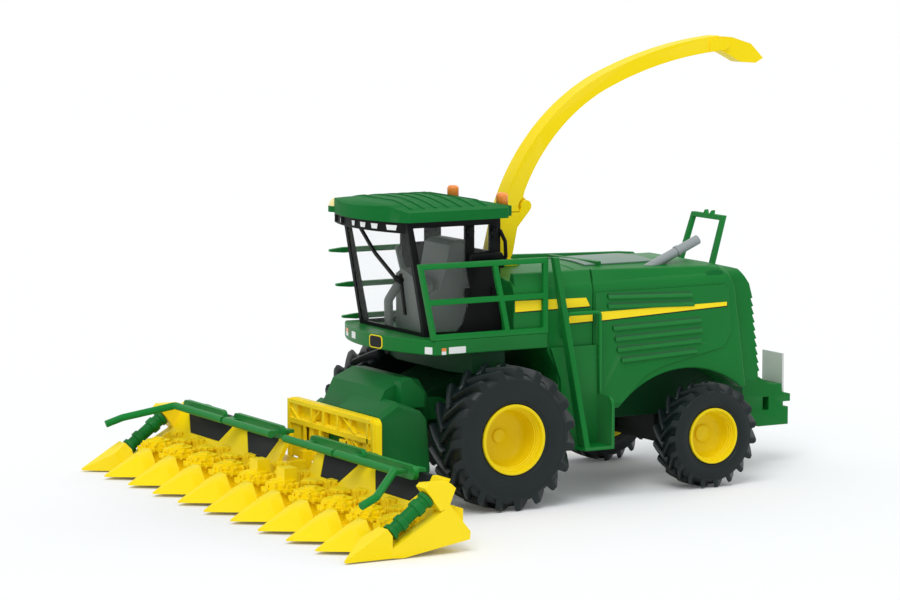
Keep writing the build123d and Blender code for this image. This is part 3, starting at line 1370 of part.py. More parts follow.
with BuildPart() as corner_lamp:
    with BuildSketch(Plane.XY.offset(cab_top + lamp_ear_height)):
        with Locations((lamp_ear_x, back(lamp_ear_run))):
            Circle(corner_lamp_radius)
    extrude(amount=corner_lamp_height)
    fillet(corner_lamp.edges().filter_by(GeomType.CIRCLE).sort_by(Axis.Z)[-1], corner_lamp_height - 0.6)
pieces["corner_lamp"] = corner_lamp

for node, piece in pieces.items():
    piece.part.label = node
    export_step(piece.part, f"parts/{node}.step")
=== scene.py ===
import bpy
import bmesh
import json
from math import cos, pi, radians, sin
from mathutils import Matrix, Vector
from mathutils.bvhtree import BVHTree

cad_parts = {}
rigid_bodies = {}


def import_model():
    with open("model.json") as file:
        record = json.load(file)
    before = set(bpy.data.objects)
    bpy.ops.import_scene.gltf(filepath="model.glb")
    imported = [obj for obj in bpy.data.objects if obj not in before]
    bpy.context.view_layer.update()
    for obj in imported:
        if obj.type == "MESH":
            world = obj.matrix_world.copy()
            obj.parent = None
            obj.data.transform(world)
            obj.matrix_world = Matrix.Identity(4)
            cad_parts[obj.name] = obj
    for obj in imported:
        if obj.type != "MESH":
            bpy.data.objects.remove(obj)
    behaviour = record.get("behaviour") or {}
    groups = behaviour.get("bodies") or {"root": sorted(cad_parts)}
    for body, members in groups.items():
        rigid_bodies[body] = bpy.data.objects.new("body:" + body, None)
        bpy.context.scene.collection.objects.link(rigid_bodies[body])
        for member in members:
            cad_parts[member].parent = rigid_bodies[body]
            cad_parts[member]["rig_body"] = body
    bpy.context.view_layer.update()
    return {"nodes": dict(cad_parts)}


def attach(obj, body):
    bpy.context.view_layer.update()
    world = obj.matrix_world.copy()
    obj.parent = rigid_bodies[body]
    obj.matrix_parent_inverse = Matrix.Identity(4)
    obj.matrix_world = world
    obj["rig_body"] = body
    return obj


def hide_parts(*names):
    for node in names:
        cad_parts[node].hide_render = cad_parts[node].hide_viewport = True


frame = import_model()
print("frame loaded:", len(frame["nodes"]), "nodes")

# Sizes below are millimetres: x to the machine's left, run rearward from the front axle, z up
mm = 0.001
axleY = -0.02675
fullTurn = 2 * pi


def at(x, run, z):
    return Vector((x * mm, axleY + run * mm, z * mm))


# Moulded plastics, each with its slot in the part's record
plasticLooks = {
    # name: slot, colour, roughness, mottling, coarse bump, fine bump, gloss
    "green": ("green_plastic", (0.0060, 0.168, 0.027), 0.40, 0.10, 0.05, 0.05, 0.13),
    # a lighter copy of the green: painted light on the rails, cradle and handrails, as if lit from above
    "paintedLitGreen": ("green_plastic", (0.0085, 0.205, 0.034), 0.42, 0.08, 0.05, 0.05, 0.10),
    "roofGreen": ("green_plastic", (0.0075, 0.150, 0.030), 0.50, 0.10, 0.05, 0.05, 0.03),
    # a darker copy of the green: painted shade on the feeder house and in the pocket
    "paintedShadeGreen": ("green_plastic", (0.0045, 0.128, 0.024), 0.44, 0.12, 0.06, 0.06, 0.10),
    # darker still: painted shade in the louvre slots
    "slotShadeGreen": ("green_plastic", (0.0040, 0.105, 0.021), 0.50, 0.12, 0.06, 0.06, 0.16),
    "darkGreen": ("green_plastic", (0.0025, 0.052, 0.014), 0.50, 0.12, 0.06, 0.06, 0.14),
    "yellow": ("yellow_plastic", (1.0, 0.748, 0.003), 0.40, 0.03, 0.04, 0.04, 0.10),
    "rimYellow": ("yellow_plastic", (0.86, 0.650, 0.004), 0.36, 0.05, 0.04, 0.04, 0.18),
    "black": ("black_plastic", (0.0028, 0.0036, 0.0038), 0.42, 0.15, 0.05, 0.08, 0.09),
    "softBlack": ("black_plastic", (0.0060, 0.0090, 0.0095), 0.55, 0.15, 0.05, 0.10, 0.12),
    "grey": ("grey_plastic", (0.135, 0.155, 0.140), 0.46, 0.10, 0.05, 0.08, 0.30),
    "meshGrey": ("grey_plastic", (0.15, 0.24, 0.19), 0.42, 0.35, 0.10, 0.20, 0.30),
    "paleGrey": ("grey_plastic", (0.72, 0.73, 0.71), 0.45, 0.06, 0.03, 0.05, 0.28),
    "silver": ("silver_plastic", (0.30, 0.33, 0.34), 0.36, 0.08, 0.04, 0.05, 0.45),
    "white": ("lamp_white", (0.80, 0.82, 0.82), 0.35, 0.04, 0.02, 0.03, 0.28),
    "reflector": ("amber_plastic", (0.85, 0.25, 0.06), 0.30, 0.05, 0.02, 0.03, 0.30),
}

# How the skin of every moulding varies; bump depths are metres
skinLook = {
    "cloudScale": 38.0, "cloudDetail": 3.0, "roughSwing": 0.07,     # slow change of colour and shine
    "grainScale": 2600.0, "grainDepth": 0.0001,     # fine skin of the mould
    "rippleScale": 150.0, "rippleDepth": 0.0012,    # slight waviness that breaks up the gloss
    "noiseDetail": 2.0, "ior": 1.45,
    # thin paler tint added on sharp edges
    "paleEdgeFrom": 0.53, "paleEdgeTo": 0.62, "paleEdgeTint": 0.08, "paleEdgeAmount": 0.22,
}

# Tyre rubber, with dust in patches and fine pores
rubberLook = {
    "dark": (0.0028, 0.0072, 0.0074), "dusty": (0.0072, 0.0150, 0.0152), "dustScale": 90.0, "dustDetail": 5.0,
    "poreScale": 1700.0, "poreDepth": 0.0002, "bump": 0.16, "roughness": (0.30, 0.48), "gloss": 0.26,
}

# Glazing and lamp covers
clearLooks = {
    # name: slot, material, colour, alpha, roughness
    "glazing": ("clear_plastic", "clearGlazing", (0.82, 0.87, 0.86), 0.035, 0.04),
    "amber": ("amber_plastic", "amberLens", (1.0, 0.30, 0.045), 0.93, 0.12),
    "lens": ("lamp_white", "clearLens", (0.86, 0.89, 0.88), 1.0, 0.12),
    "paleLens": ("lamp_pale", "paleLens", (0.93, 0.80, 0.36), 1.0, 0.16),
}
clearSkin = {"hazeScale": 60.0, "hazeSwing": 2.2, "ior": 1.46}


def link(tree, pairs):
    for a, b in pairs:
        tree.links.new(a, b)


def addNoise(tree, scale, detail=None):
    noise = tree.nodes.new("ShaderNodeTexNoise")
    noise.inputs["Scale"].default_value = scale
    if detail is not None:
        noise.inputs["Detail"].default_value = detail
    return noise


def addMix(tree, first, second):
    mix = tree.nodes.new("ShaderNodeMixRGB")
    mix.inputs["Color1"].default_value = (*first, 1)
    mix.inputs["Color2"].default_value = (*second, 1)
    return mix


def addRange(tree, low, high):
    spread = tree.nodes.new("ShaderNodeMapRange")
    spread.inputs["To Min"].default_value = low
    spread.inputs["To Max"].default_value = high
    return spread


def addBump(tree, strength, distance):
    bump = tree.nodes.new("ShaderNodeBump")
    bump.inputs["Strength"].default_value = strength
    bump.inputs["Distance"].default_value = distance
    return bump


def startMaterial(name):
    mat = bpy.data.materials.new(name)
    mat.use_nodes = True
    tree = mat.node_tree
    return mat, tree, tree.nodes["Principled BSDF"], tree.nodes.new("ShaderNodeTexCoord").outputs["Object"]


# adds a paler tint where the surface is sharply convex
def addPaleEdges(tree, colour):
    geometry = tree.nodes.new("ShaderNodeNewGeometry")
    ramp = tree.nodes.new("ShaderNodeValToRGB")
    dull, bright = ramp.color_ramp.elements
    dull.position = skinLook["paleEdgeFrom"]
    dull.color = (0, 0, 0, 1)
    bright.position = skinLook["paleEdgeTo"]
    bright.color = (*[skinLook["paleEdgeTint"]] * 3, 1)
    paled = tree.nodes.new("ShaderNodeMixRGB")
    paled.blend_type = "ADD"
    paled.inputs["Fac"].default_value = skinLook["paleEdgeAmount"]
    link(tree, [
        (geometry.outputs["Pointiness"], ramp.inputs["Fac"]),
        (colour, paled.inputs["Color1"]),
        (ramp.outputs["Color"], paled.inputs["Color2"]),
    ])
    return paled.outputs["Color"]


def plastic(name):
    colour, roughness, mottle, coarse, fine, gloss = plasticLooks[name][1:]
    mat, tree, shader, coords = startMaterial(name + "Plastic")
    cloudy = addNoise(tree, skinLook["cloudScale"], skinLook["cloudDetail"])
    grain = addNoise(tree, skinLook["grainScale"], skinLook["noiseDetail"])
    ripple = addNoise(tree, skinLook["rippleScale"], skinLook["noiseDetail"])
    shade = addMix(tree, [c * (1 - mottle) for c in colour], [min(1.0, c * (1 + mottle)) for c in colour])
    rough = addRange(tree, roughness - skinLook["roughSwing"], roughness + skinLook["roughSwing"])
    bumpCoarse = addBump(tree, coarse, skinLook["rippleDepth"])
    bumpFine = addBump(tree, fine, skinLook["grainDepth"])
    shader.inputs["IOR"].default_value = skinLook["ior"]
    shader.inputs["Specular IOR Level"].default_value = gloss
    link(tree, [
        (coords, cloudy.inputs["Vector"]),
        (coords, grain.inputs["Vector"]),
        (coords, ripple.inputs["Vector"]),
        (cloudy.outputs["Fac"], shade.inputs["Fac"]),
        (addPaleEdges(tree, shade.outputs["Color"]), shader.inputs["Base Color"]),
        (cloudy.outputs["Fac"], rough.inputs["Value"]),
        (rough.outputs["Result"], shader.inputs["Roughness"]),
        (ripple.outputs["Fac"], bumpCoarse.inputs["Height"]),
        (grain.outputs["Fac"], bumpFine.inputs["Height"]),
        (bumpCoarse.outputs["Normal"], bumpFine.inputs["Normal"]),
        (bumpFine.outputs["Normal"], shader.inputs["Normal"]),
    ])
    return mat


def rubber():
    mat, tree, shader, coords = startMaterial("tyreRubber")
    dust = addNoise(tree, rubberLook["dustScale"], rubberLook["dustDetail"])
    pores = addNoise(tree, rubberLook["poreScale"])
    shade = addMix(tree, rubberLook["dark"], rubberLook["dusty"])
    rough = addRange(tree, *rubberLook["roughness"])
    bump = addBump(tree, rubberLook["bump"], rubberLook["poreDepth"])
    shader.inputs["Specular IOR Level"].default_value = rubberLook["gloss"]
    link(tree, [
        (coords, dust.inputs["Vector"]),
        (coords, pores.inputs["Vector"]),
        (dust.outputs["Fac"], shade.inputs["Fac"]),
        (shade.outputs["Color"], shader.inputs["Base Color"]),
        (dust.outputs["Fac"], rough.inputs["Value"]),
        (rough.outputs["Result"], shader.inputs["Roughness"]),
        (pores.outputs["Fac"], bump.inputs["Height"]),
        (bump.outputs["Normal"], shader.inputs["Normal"]),
    ])
    return mat


def clear(name):
    title, colour, alpha, roughness = clearLooks[name][1:]
    mat, tree, shader, coords = startMaterial(title)
    haze = addNoise(tree, clearSkin["hazeScale"])
    rough = addRange(tree, roughness, roughness * clearSkin["hazeSwing"])
    shader.inputs["Base Color"].default_value = (*colour, 1)
    shader.inputs["Alpha"].default_value = alpha
    shader.inputs["IOR"].default_value = clearSkin["ior"]
    link(tree, [
        (coords, haze.inputs["Vector"]),
        (haze.outputs["Fac"], rough.inputs["Value"]),
        (rough.outputs["Result"], shader.inputs["Roughness"]),
    ])
    return mat


finish = {name: plastic(name) for name in plasticLooks}
finish["tyre"] = rubber()
finish.update({name: clear(name) for name in clearLooks})
slotOf = {name: look[0] for name, look in {**plasticLooks, **clearLooks}.items()}
slotOf["tyre"] = "tyre"
print("finishes made:", len(finish))

sharpAngle = 35         # degrees past which an edge stays sharp in shading
bevelAngle = 28         # degrees past which an edge is rounded


def piece(name, bm, look, body, bevel=0.0, segments=2, smooth=sharpAngle, replaces=()):
    bmesh.ops.recalc_face_normals(bm, faces=bm.faces)
    mesh = bpy.data.meshes.new(name)
    bm.to_mesh(mesh)
    bm.free()
    obj = bpy.data.objects.new(name, mesh)
    bpy.context.scene.collection.objects.link(obj)
    mesh.materials.append(finish[look])
    for face in mesh.polygons:
        face.use_smooth = True
    mesh.set_sharp_from_angle(angle=radians(smooth))
    if bevel:
        mod = obj.modifiers.new("edges", "BEVEL")
        mod.width = bevel * mm
        mod.segments = segments
        mod.limit_method = "ANGLE"
        mod.angle_limit = radians(bevelAngle)
        mod.harden_normals = True
        mod.use_clamp_overlap = True
    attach(obj, body)
    if replaces:
        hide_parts(*replaces)


def closeSlab(bm, near, far):
    count = len(near)
    bm.faces.new(near)
    bm.faces.new(far[::-1])
    for i in range(count):
        j = (i + 1) % count
        bm.faces.new((near[i], far[i], far[j], near[j]))


def sideSlab(bm, points, x0, x1):       # a side outline of (run, z) points
    near = [bm.verts.new(at(x0, run, z)) for run, z in points]
    far = [bm.verts.new(at(x1, run, z)) for run, z in points]
    closeSlab(bm, near, far)


def frontSlab(bm, points, run0, run1):      # a front outline of (x, z) points
    near = [bm.verts.new(at(x, run0, z)) for x, z in points]
    far = [bm.verts.new(at(x, run1, z)) for x, z in points]
    closeSlab(bm, near, far)


def topSlab(bm, points, z0, z1):        # a top outline of (x, run) points
    near = [bm.verts.new(at(x, run, z0)) for x, run in points]
    far = [bm.verts.new(at(x, run, z1)) for x, run in points]
    closeSlab(bm, near, far)


def rings(bm, loops):       # a capped skin over loops with the same count of points
    made = [[bm.verts.new(p) for p in loop] for loop in loops]
    for a, b in zip(made, made[1:]):
        count = len(a)
        for i in range(count):
            j = (i + 1) % count
            bm.faces.new((a[i], a[j], b[j], b[i]))
    bm.faces.new(made[0][::-1])
    bm.faces.new(made[-1])


def circle(x, run, radius, steps):
    angles = [fullTurn * k / steps for k in range(steps)]
    return [(x + radius * cos(a), run + radius * sin(a)) for a in angles]


def strut(bm, a, b, width, thick, wide=(1, 0, 0)):      # a flat bar from one (x, run, z) point to another
    a, b = at(*a), at(*b)
    along = (b - a).normalized()
    across = (Vector(wide) - along * along.dot(Vector(wide))).normalized() * width * mm / 2
    up = along.cross(across).normalized() * thick * mm / 2
    rings(bm, [[p + across + up, p - across + up, p - across - up, p + across - up] for p in (a, b)])


def tube(bm, points, radius, steps=12):     # a round bar through (x, run, z) points
    path = [at(*p) for p in points]
    across = None
    loops = []
    for i, spot in enumerate(path):
        along = (path[min(i + 1, len(path) - 1)] - path[max(i - 1, 0)]).normalized()
        if across is None:
            across = along.orthogonal().normalized()
        else:
            across = (across - along * along.dot(across)).normalized()
        up = along.cross(across)
        turns = [fullTurn * k / steps for k in range(steps)]
        loops.append([spot + (across * cos(a) + up * sin(a)) * radius * mm for a in turns])
    rings(bm, loops)


def roundedBox(u0, u1, v0, v1, radius, steps=5):
    points = []
    for u, v, start in ((u1, v1, 0), (u0, v1, 90), (u0, v0, 180), (u1, v0, 270)):
        centreU = u - radius if u == u1 else u + radius
        centreV = v - radius if v == v1 else v + radius
        for k in range(steps + 1):
            a = radians(start + 90 * k / steps)
            points.append((centreU + radius * cos(a), centreV + radius * sin(a)))
    return points


# Trim that lies on a solid has its outline dropped on to that solid's skin
skins = {}
farOff = 130        # clear of the part on every side
patchSink = 0.2     # how far a patch reaches into the solid
views = {
    # view: direction of sight, place that an outline point (u, v) is seen from
    "front": ((0, 1, 0), lambda u, v: at(u, -farOff, v)),
    "left": ((-1, 0, 0), lambda u, v: at(farOff, u, v)),
    "right": ((1, 0, 0), lambda u, v: at(-farOff, u, v)),
}


def onSkin(node, start, direction):
    if node not in skins:
        mesh = frame["nodes"][node].data
        corners = [v.co for v in mesh.vertices]
        skins[node] = BVHTree.FromPolygons(corners, [list(f.vertices) for f in mesh.polygons])
    spot = skins[node].ray_cast(start, Vector(direction))[0]
    return spot if spot else start


def patch(bm, node, outline, view, rise):       # a thin plate with this outline, on a node
    way, seenFrom = views[view]
    near, far = [], []
    for u, v in outline:
        spot = onSkin(node, seenFrom(u, v), way)
        near.append(bm.verts.new(spot - Vector(way) * rise * mm))
        far.append(bm.verts.new(spot + Vector(way) * patchSink * mm))
    closeSlab(bm, near, far)


# Every node that keeps its own solid, in its finish
nodeLooks = {
    # node: look, bevel
    "chassis": ("darkGreen", 0.5), "front_axle": ("softBlack", 0.3), "rear_axle": ("softBlack", 0.3),
    "knuckle_left": ("softBlack", 0.2), "knuckle_right": ("softBlack", 0.2),
    "body_front": ("green", 0.6), "hood": ("green", 0.7), "side_panels": ("green", 0.15),
    "top_grille": ("meshGrey", 0.1), "rear_grille": ("green", 0.4), "exhaust": ("silver", 0.1),
    # the cradle, rails, handrail and header rails take the lighter green copy as painted light
    "spout_cradle": ("paintedLitGreen", 0.2), "rear_hitch": ("green", 0.3), "rear_plate": ("paleGrey", 0.1),
    "platform": ("green", 0.6), "rail_left": ("paintedLitGreen", 0.3), "rail_right": ("paintedLitGreen", 0.3),
    "stairs": ("green", 0.3), "stair_handrail": ("paintedLitGreen", 0),
    "cab_frame": ("black", 0), "cab_roof": ("roofGreen", 0.8), "beacons": ("amber", 0),
    "lamp_bar": ("black", 0.3), "cab_glass": ("glazing", 0), "cab_interior": ("grey", 1.4),
    "steering_column": ("grey", 0.2),
    "spout_turret": ("yellow", 0.3), "spout_base": ("yellow", 0.4), "spout_arm": ("yellow", 0.4),
    # the feeder house takes the darker green copy as painted shade
    "spout_flap": ("yellow", 0.3), "feeder_house": ("paintedShadeGreen", 0.6), "attach_frame": ("yellow", 0.25),
    "header_trough": ("yellow", 0.2), "header_panels": ("softBlack", 0.2), "snouts": ("yellow", 0.15),
    "rotors": ("yellow", 0.1), "end_dividers": ("yellow", 0.2), "augers": ("green", 0.3),
    "header_rails": ("paintedLitGreen", 0.2),
}
nodeMesh = {"weld": 2e-6, "flatAngle": 0.6}     # metres, degrees


def dressNode(node, look, bevel):
    bm = bmesh.new()
    bm.from_mesh(frame["nodes"][node].data)
    bmesh.ops.remove_doubles(bm, verts=bm.verts, dist=nodeMesh["weld"])
    if bevel:       # joins flat triangles, which the cab's frame with its windows doesn't stand
        flat = radians(nodeMesh["flatAngle"])
        bmesh.ops.dissolve_limit(bm, angle_limit=flat, verts=bm.verts, edges=bm.edges)
    piece(node + "Shell", bm, look, frame["nodes"][node]["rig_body"], bevel, replaces=(node,))


for node, (look, bevel) in nodeLooks.items():
    dressNode(node, look, bevel)
print("nodes dressed:", len(nodeLooks))

# Stripes on both sides, each with a thin black strip along its lower edge, shifted down and rearward, as
# painted shadow under the stripe
stripes = {
    # node, rearmost run of the painted shadow strip, outline of (run, z)
    "front": ("body_front", 47.2, [(11.0, 80.8), (43.9, 80.3), (45.8, 76.8), (11.0, 76.4)]),
    "middle": ("body_front", 47.2, [(34.1, 74.1), (47.0, 74.1), (47.0, 70.7), (36.0, 70.4)]),
    "rear": ("side_panels", 113.0, [(49.6, 74.2), (111.3, 74.8), (111.3, 73.2), (49.6, 70.7)]),
}
stripeLook = {
    "look": "yellow", "rise": 0.16,
    # black strip under each stripe, shifted down and back: painted shadow
    "shadowLook": "black", "shadowRise": 0.08, "shadowShift": (0.35, -0.45),
}


def addStripes(view):
    shiftRun, shiftZ = stripeLook["shadowShift"]
    for name, (node, rearmost, outline) in stripes.items():
        bm = bmesh.new()
        patch(bm, node, outline, view, stripeLook["rise"])
        piece(f"stripe{name.title()}{view.title()}", bm, stripeLook["look"], "machine")
        # painted shadow: the stripe's outline moved down and rearward, in black
        bm = bmesh.new()
        edge = [(min(run + shiftRun, rearmost), z + shiftZ) for run, z in outline]
        patch(bm, node, edge, view, stripeLook["shadowRise"])
        piece(f"stripeShadow{name.title()}{view.title()}", bm, stripeLook["shadowLook"], "machine")


for view in ("left", "right"):
    addStripes(view)
print("stripes laid")

# Louvres in the side panels: a dark green slab in each slot as painted shade, over a lip that catches the
# light
louvres = {
    # front run, rear run, front z, rear z
    "rows": [
        (53.5, 93.5, 80.4, 79.0), (53.5, 94.5, 76.6, 75.4), (56.0, 98.0, 67.4, 68.4),
        (57.0, 98.5, 63.0, 64.2), (58.0, 98.0, 58.6, 60.0), (60.0, 96.0, 54.2, 55.8),
    ],
    "face": 36.5,       # x of the panel
    "slot": {"in": -0.6, "out": 0.05, "top": 1.25, "foot": 0.25, "leanFront": 1.2, "leanRear": 0.8},
    "lip": [(-0.4, 0.65), (0.05, 0.35), (0.75, -0.9), (0.55, -1.35), (-0.4, -1.6)],     # out, up
    # the slot slabs take the darkest green as painted shade
    "lipFront": 0.6, "lipRear": 0.8, "slotShadeLook": "slotShadeGreen", "lipLook": "green", "lipBevel": 0.12,
}


def addLouvres(side, word):
    shadeSlabs, lips = bmesh.new(), bmesh.new()
    face, slot = louvres["face"], louvres["slot"]
    for front, rear, zFront, zRear in louvres["rows"]:
        outline = [
            (front, zFront + slot["top"]),
            (rear, zRear + slot["top"]),
            (rear + slot["leanRear"], zRear + slot["foot"]),
            (front + slot["leanFront"], zFront + slot["foot"]),
        ]
        # a thin dark slab across the slot, painted shade of the recess
        sideSlab(shadeSlabs, outline, side * (face + slot["in"]), side * (face + slot["out"]))
        ends = ((front + louvres["lipFront"], zFront), (rear + louvres["lipRear"], zRear))
        rings(lips, [[at(side * (face + out), run, z + up) for out, up in louvres["lip"]] for run, z in ends])
    piece("louvreSlotShade" + word, shadeSlabs, louvres["slotShadeLook"], "machine")
    piece("louvreLips" + word, lips, louvres["lipLook"], "machine", bevel=louvres["lipBevel"])


# The side walls end in raised rims along the crown
crownRims = {
    "look": "green", "bevel": 0.2, "smooth": 50,
    # x, depth under the crest
    "section": [
        (36.02, 9.3), (33.75, 1.0), (33.2, 0.3), (32.3, 0.0),
        (31.5, 0.35), (31.0, 1.6), (30.3, 4.4), (33.5, 9.3),
    ],
    # run, crest z
    "parts": {
        "front": [(11.5, 91.5), (47.1, 91.4)],
        "hood": [(47.9, 91.4), (62, 91.0), (80, 90.5), (102, 90.0), (109.5, 89.4), (112.4, 87.4)],
    },
}


def addCrownRims(side, word):
    for part, path in crownRims["parts"].items():
        bm = bmesh.new()
        section = crownRims["section"]
        rings(bm, [[at(side * x, run, crest - depth) for x, depth in section] for run, crest in path])
        piece(f"crownRim{part.title()}{word}", bm, crownRims["look"], "machine",
              bevel=crownRims["bevel"], smooth=crownRims["smooth"])


# Oval pocket near the rear end of each rim: a slightly raised oval in darker green, painted shade standing in
# for the hollow
pocket = {
    "run": 106.6, "z": 86.4, "halfLength": 4.4, "halfHeight": 1.7, "steps": 24, "look": "paintedShadeGreen",
    "wall": (36.02, 81.9, 0.2633),      # x and z of a point on the wall, and its lean inward per mm up
    "rings": [(1.0, -0.3), (1.0, 0.10), (0.82, 0.16)],      # share of the size, out from the wall
}


def addPocket(side, word):
    wallX, wallZ, lean = pocket["wall"]
    loops = []
    for share, out in pocket["rings"]:
        loop = []
        for k in range(pocket["steps"]):
            a = fullTurn * k / pocket["steps"]
            z = pocket["z"] + pocket["halfHeight"] * share * sin(a)
            x = wallX - (z - wallZ) * lean + out
            loop.append(at(side * x, pocket["run"] + pocket["halfLength"] * share * cos(a), z))
        loops.append(loop)
    bm = bmesh.new()
    rings(bm, loops)
    piece("pocket" + word, bm, pocket["look"], "machine")


for side, word in ((1, "Left"), (-1, "Right")):
    addLouvres(side, word)
    addCrownRims(side, word)
    addPocket(side, word)
print("louvres, rims and pockets added")

# Wiper on the windscreen
wiper = {
    # width, points
    "arm": (1.7, [(-14.7, -33.4, 111.3), (-2.7, -31.2, 98.9), (11.1, -29.7, 90.3), (15.2, -29.4, 89.4)]),
    "blade": (1.6, [(15.9, -29.6, 92.0), (15.2, -28.4, 84.5), (13.8, -26.4, 75.3)]),
    "thick": 1.0, "pivot": [(13.6, -30.4, 90.0), (16.8, -29.6, 89.2)], "pivotRadius": 1.4,
    "look": "black", "bevel": 0.2,
}

# Hinges of both doors, and the roll and mirror's arm behind the left one
hinges = {
    "places": [(-4.5, 108.4), (6.5, 107.6), (-5.6, 84.0), (6.4, 84.0)],      # run, z
    "x": 27.4, "halfHeight": 2.0, "radius": 1.35, "pinX": 27.6, "pinHalf": 1.4, "pinRadius": 0.9,
    "roll": [(27.6, -5.0, 98.2), (28.2, 2.0, 98.6), (28.2, 8.4, 98.0), (27.2, 9.8, 96.4)],
    "mirrorArm": [(27.4, 9.0, 108.5), (29.2, 10.4, 104.0), (29.4, 10.6, 98.0), (27.8, 9.6, 93.5)],
    "rollRadius": 1.9, "armRadius": 0.8, "look": "black", "bevel": 0.15,
}


def addWiper():
    bm = bmesh.new()
    for width, points in (wiper["arm"], wiper["blade"]):
        for a, b in zip(points, points[1:]):
            strut(bm, a, b, width, wiper["thick"])
    tube(bm, wiper["pivot"], wiper["pivotRadius"])
    piece("wiper", bm, wiper["look"], "machine", bevel=wiper["bevel"])


def addHinges():
    bm = bmesh.new()
    high, wide = hinges["halfHeight"], hinges["pinHalf"]
    for side in (1, -1):
        x, pinX = side * hinges["x"], side * hinges["pinX"]
        for run, z in hinges["places"]:
            tube(bm, [(x, run, z - high), (x, run, z + high)], hinges["radius"])
            tube(bm, [(pinX, run - wide, z), (pinX, run + wide, z)], hinges["pinRadius"])
    tube(bm, hinges["roll"], hinges["rollRadius"])
    tube(bm, hinges["mirrorArm"], hinges["armRadius"])
    piece("doorHinges", bm, hinges["look"], "machine", bevel=hinges["bevel"])


# Lamps in black housings along the bar, turned outward with its curve
workLamps = {
    # x, lens width, turn outward in degrees
    "places": [
        (23.5, 5.6, 24), (14.0, 4.2, 14), (6.4, 4.0, 7), (-1.0, 2.8, 0), (-14.0, 4.2, -31), (-23.5, 5.6, -33),
    ],
    "nose": -41.4, "bow": 5.4, "reach": 28.0,       # run of the middle, and how far it bows back at reach
    "z": 111.3, "height": 2.2,
    # wider, higher, out from the bar
    "housing": [(0.35, 0.21, -1.2), (0.35, 0.21, 0.25)], "housingTaper": 0.3,
    "lens": [(0.0, 0.0, -0.3), (-0.15, -0.1, 0.42)], "lensTaper": 0.5,
    "housingLook": "black", "housingBevel": 0.12, "lensLook": "lens", "lensBevel": 0.1,
}


def lampLoops(x, width, turn, steps, taper):
    run = workLamps["nose"] + workLamps["bow"] * (x / workLamps["reach"]) ** 2
    c, s = cos(radians(turn)), sin(radians(turn))
    loops = []
    for wider, higher, out in steps:
        half, rise = width / 2 + wider, workLamps["height"] / 2 + higher
        corners = ((-half, rise), (half, rise), (half - taper, -rise), (taper - half, -rise))
        loops.append([at(x + u * c + out * s, run + u * s - out * c, workLamps["z"] + v) for u, v in corners])
    return loops


def addWorkLamps():
    housings, lenses = bmesh.new(), bmesh.new()
    for place in workLamps["places"]:
        rings(housings, lampLoops(*place, workLamps["housing"], workLamps["housingTaper"]))
        rings(lenses, lampLoops(*place, workLamps["lens"], workLamps["lensTaper"]))
    piece("lampHousings", housings, workLamps["housingLook"], "machine", bevel=workLamps["housingBevel"])
    piece("lampLenses", lenses, workLamps["lensLook"], "machine",
          bevel=workLamps["lensBevel"], replaces=("work_lamps",))


# Pale dome on the roof's front right corner
cornerDome = {
    "x": -27.4, "run": -34.6, "foot": 115.7, "steps": 28, "look": "paleLens", "smooth": 60,
    # radius, height
    "rings": [(3.75, 0.0), (3.8, 0.5), (3.45, 1.6), (2.6, 2.7), (1.4, 3.35), (0.3, 3.5)],
}


def addCornerDome():
    bm = bmesh.new()
    loops = []
    for radius, height in cornerDome["rings"]:
        spots = circle(cornerDome["x"], cornerDome["run"], radius, cornerDome["steps"])
        loops.append([at(x, run, cornerDome["foot"] + height) for x, run in spots])
    rings(bm, loops)
    piece("cornerDome", bm, cornerDome["look"], "machine",
          smooth=cornerDome["smooth"], replaces=("corner_lamp",))


# Bar across the silver grille
grilleBar = {
    "from": (16.6, 62.0, 90.9), "to": (-16.6, 58.6, 90.9), "width": 2.4, "thick": 2.6,
    "look": "green", "bevel": 0.3,
}

# Dark wall behind the feeder, under the platform
underWall = {
    "half": 33.5, "notch": 21.0, "front": -11.5, "corner": 4, "rear": 8.0, "foot": 52.4, "top": 62.6,
    "look": "darkGreen", "bevel": 0.5,
}


def addGrilleBar():
    bm = bmesh.new()
    strut(bm, grilleBar["from"], grilleBar["to"], grilleBar["width"], grilleBar["thick"], (0, 1, 0))
    piece("grilleBar", bm, grilleBar["look"], "machine", bevel=grilleBar["bevel"])


def addUnderWall():
    bm = bmesh.new()
    half, notch = underWall["half"], underWall["notch"]
    front, rear = underWall["front"], underWall["rear"]
    shoulder = front + underWall["corner"]
    outline = [
        (-half, rear), (-half, shoulder), (-notch, front),
        (notch, front), (half, shoulder), (half, rear),
    ]
    topSlab(bm, outline, underWall["foot"], underWall["top"])
    piece("underWall", bm, underWall["look"], "machine", bevel=underWall["bevel"])


# Blank badge, reflectors and a bare label round the platform's edge
platformTrim = {
    # name: look, view, u0, u1, z0, z1, corner, rise
    "badgeRim": ("yellow", "front", 2.6, 11.8, 61.9, 67.1, 1.6, 0.12),
    "badge": ("black", "front", 3.2, 11.2, 62.3, 66.7, 1.3, 0.20),
    "reflectorLow": ("white", "front", -25.6, -21.0, 63.3, 64.8, 0.2, 0.12),
    "reflectorHigh": ("reflector", "front", -25.6, -21.0, 64.8, 66.3, 0.2, 0.12),
    "whiteMark": ("white", "front", -15.2, -10.6, 63.5, 66.2, 0.2, 0.12),
    "cornerMark": ("white", "front", 33.6, 36.6, 62.0, 64.8, 0.2, 0.12),
    "sideMarkLow": ("white", "left", -23.4, -21.4, 61.8, 63.1, 0.2, 0.12),
    "sideMarkHigh": ("reflector", "left", -23.4, -21.4, 63.1, 64.4, 0.2, 0.12),
    "label": ("white", "left", -20.2, -12.6, 62.0, 64.6, 0.3, 0.12),
}


def addPlatformTrim():
    for name, (look, view, *box, corner, rise) in platformTrim.items():
        bm = bmesh.new()
        patch(bm, "platform", roundedBox(*box, corner), view, rise)
        piece(name, bm, look, "machine")


addWiper()
addHinges()
addWorkLamps()
addCornerDome()
addGrilleBar()
addUnderWall()
addPlatformTrim()
print("cab and platform trim added")

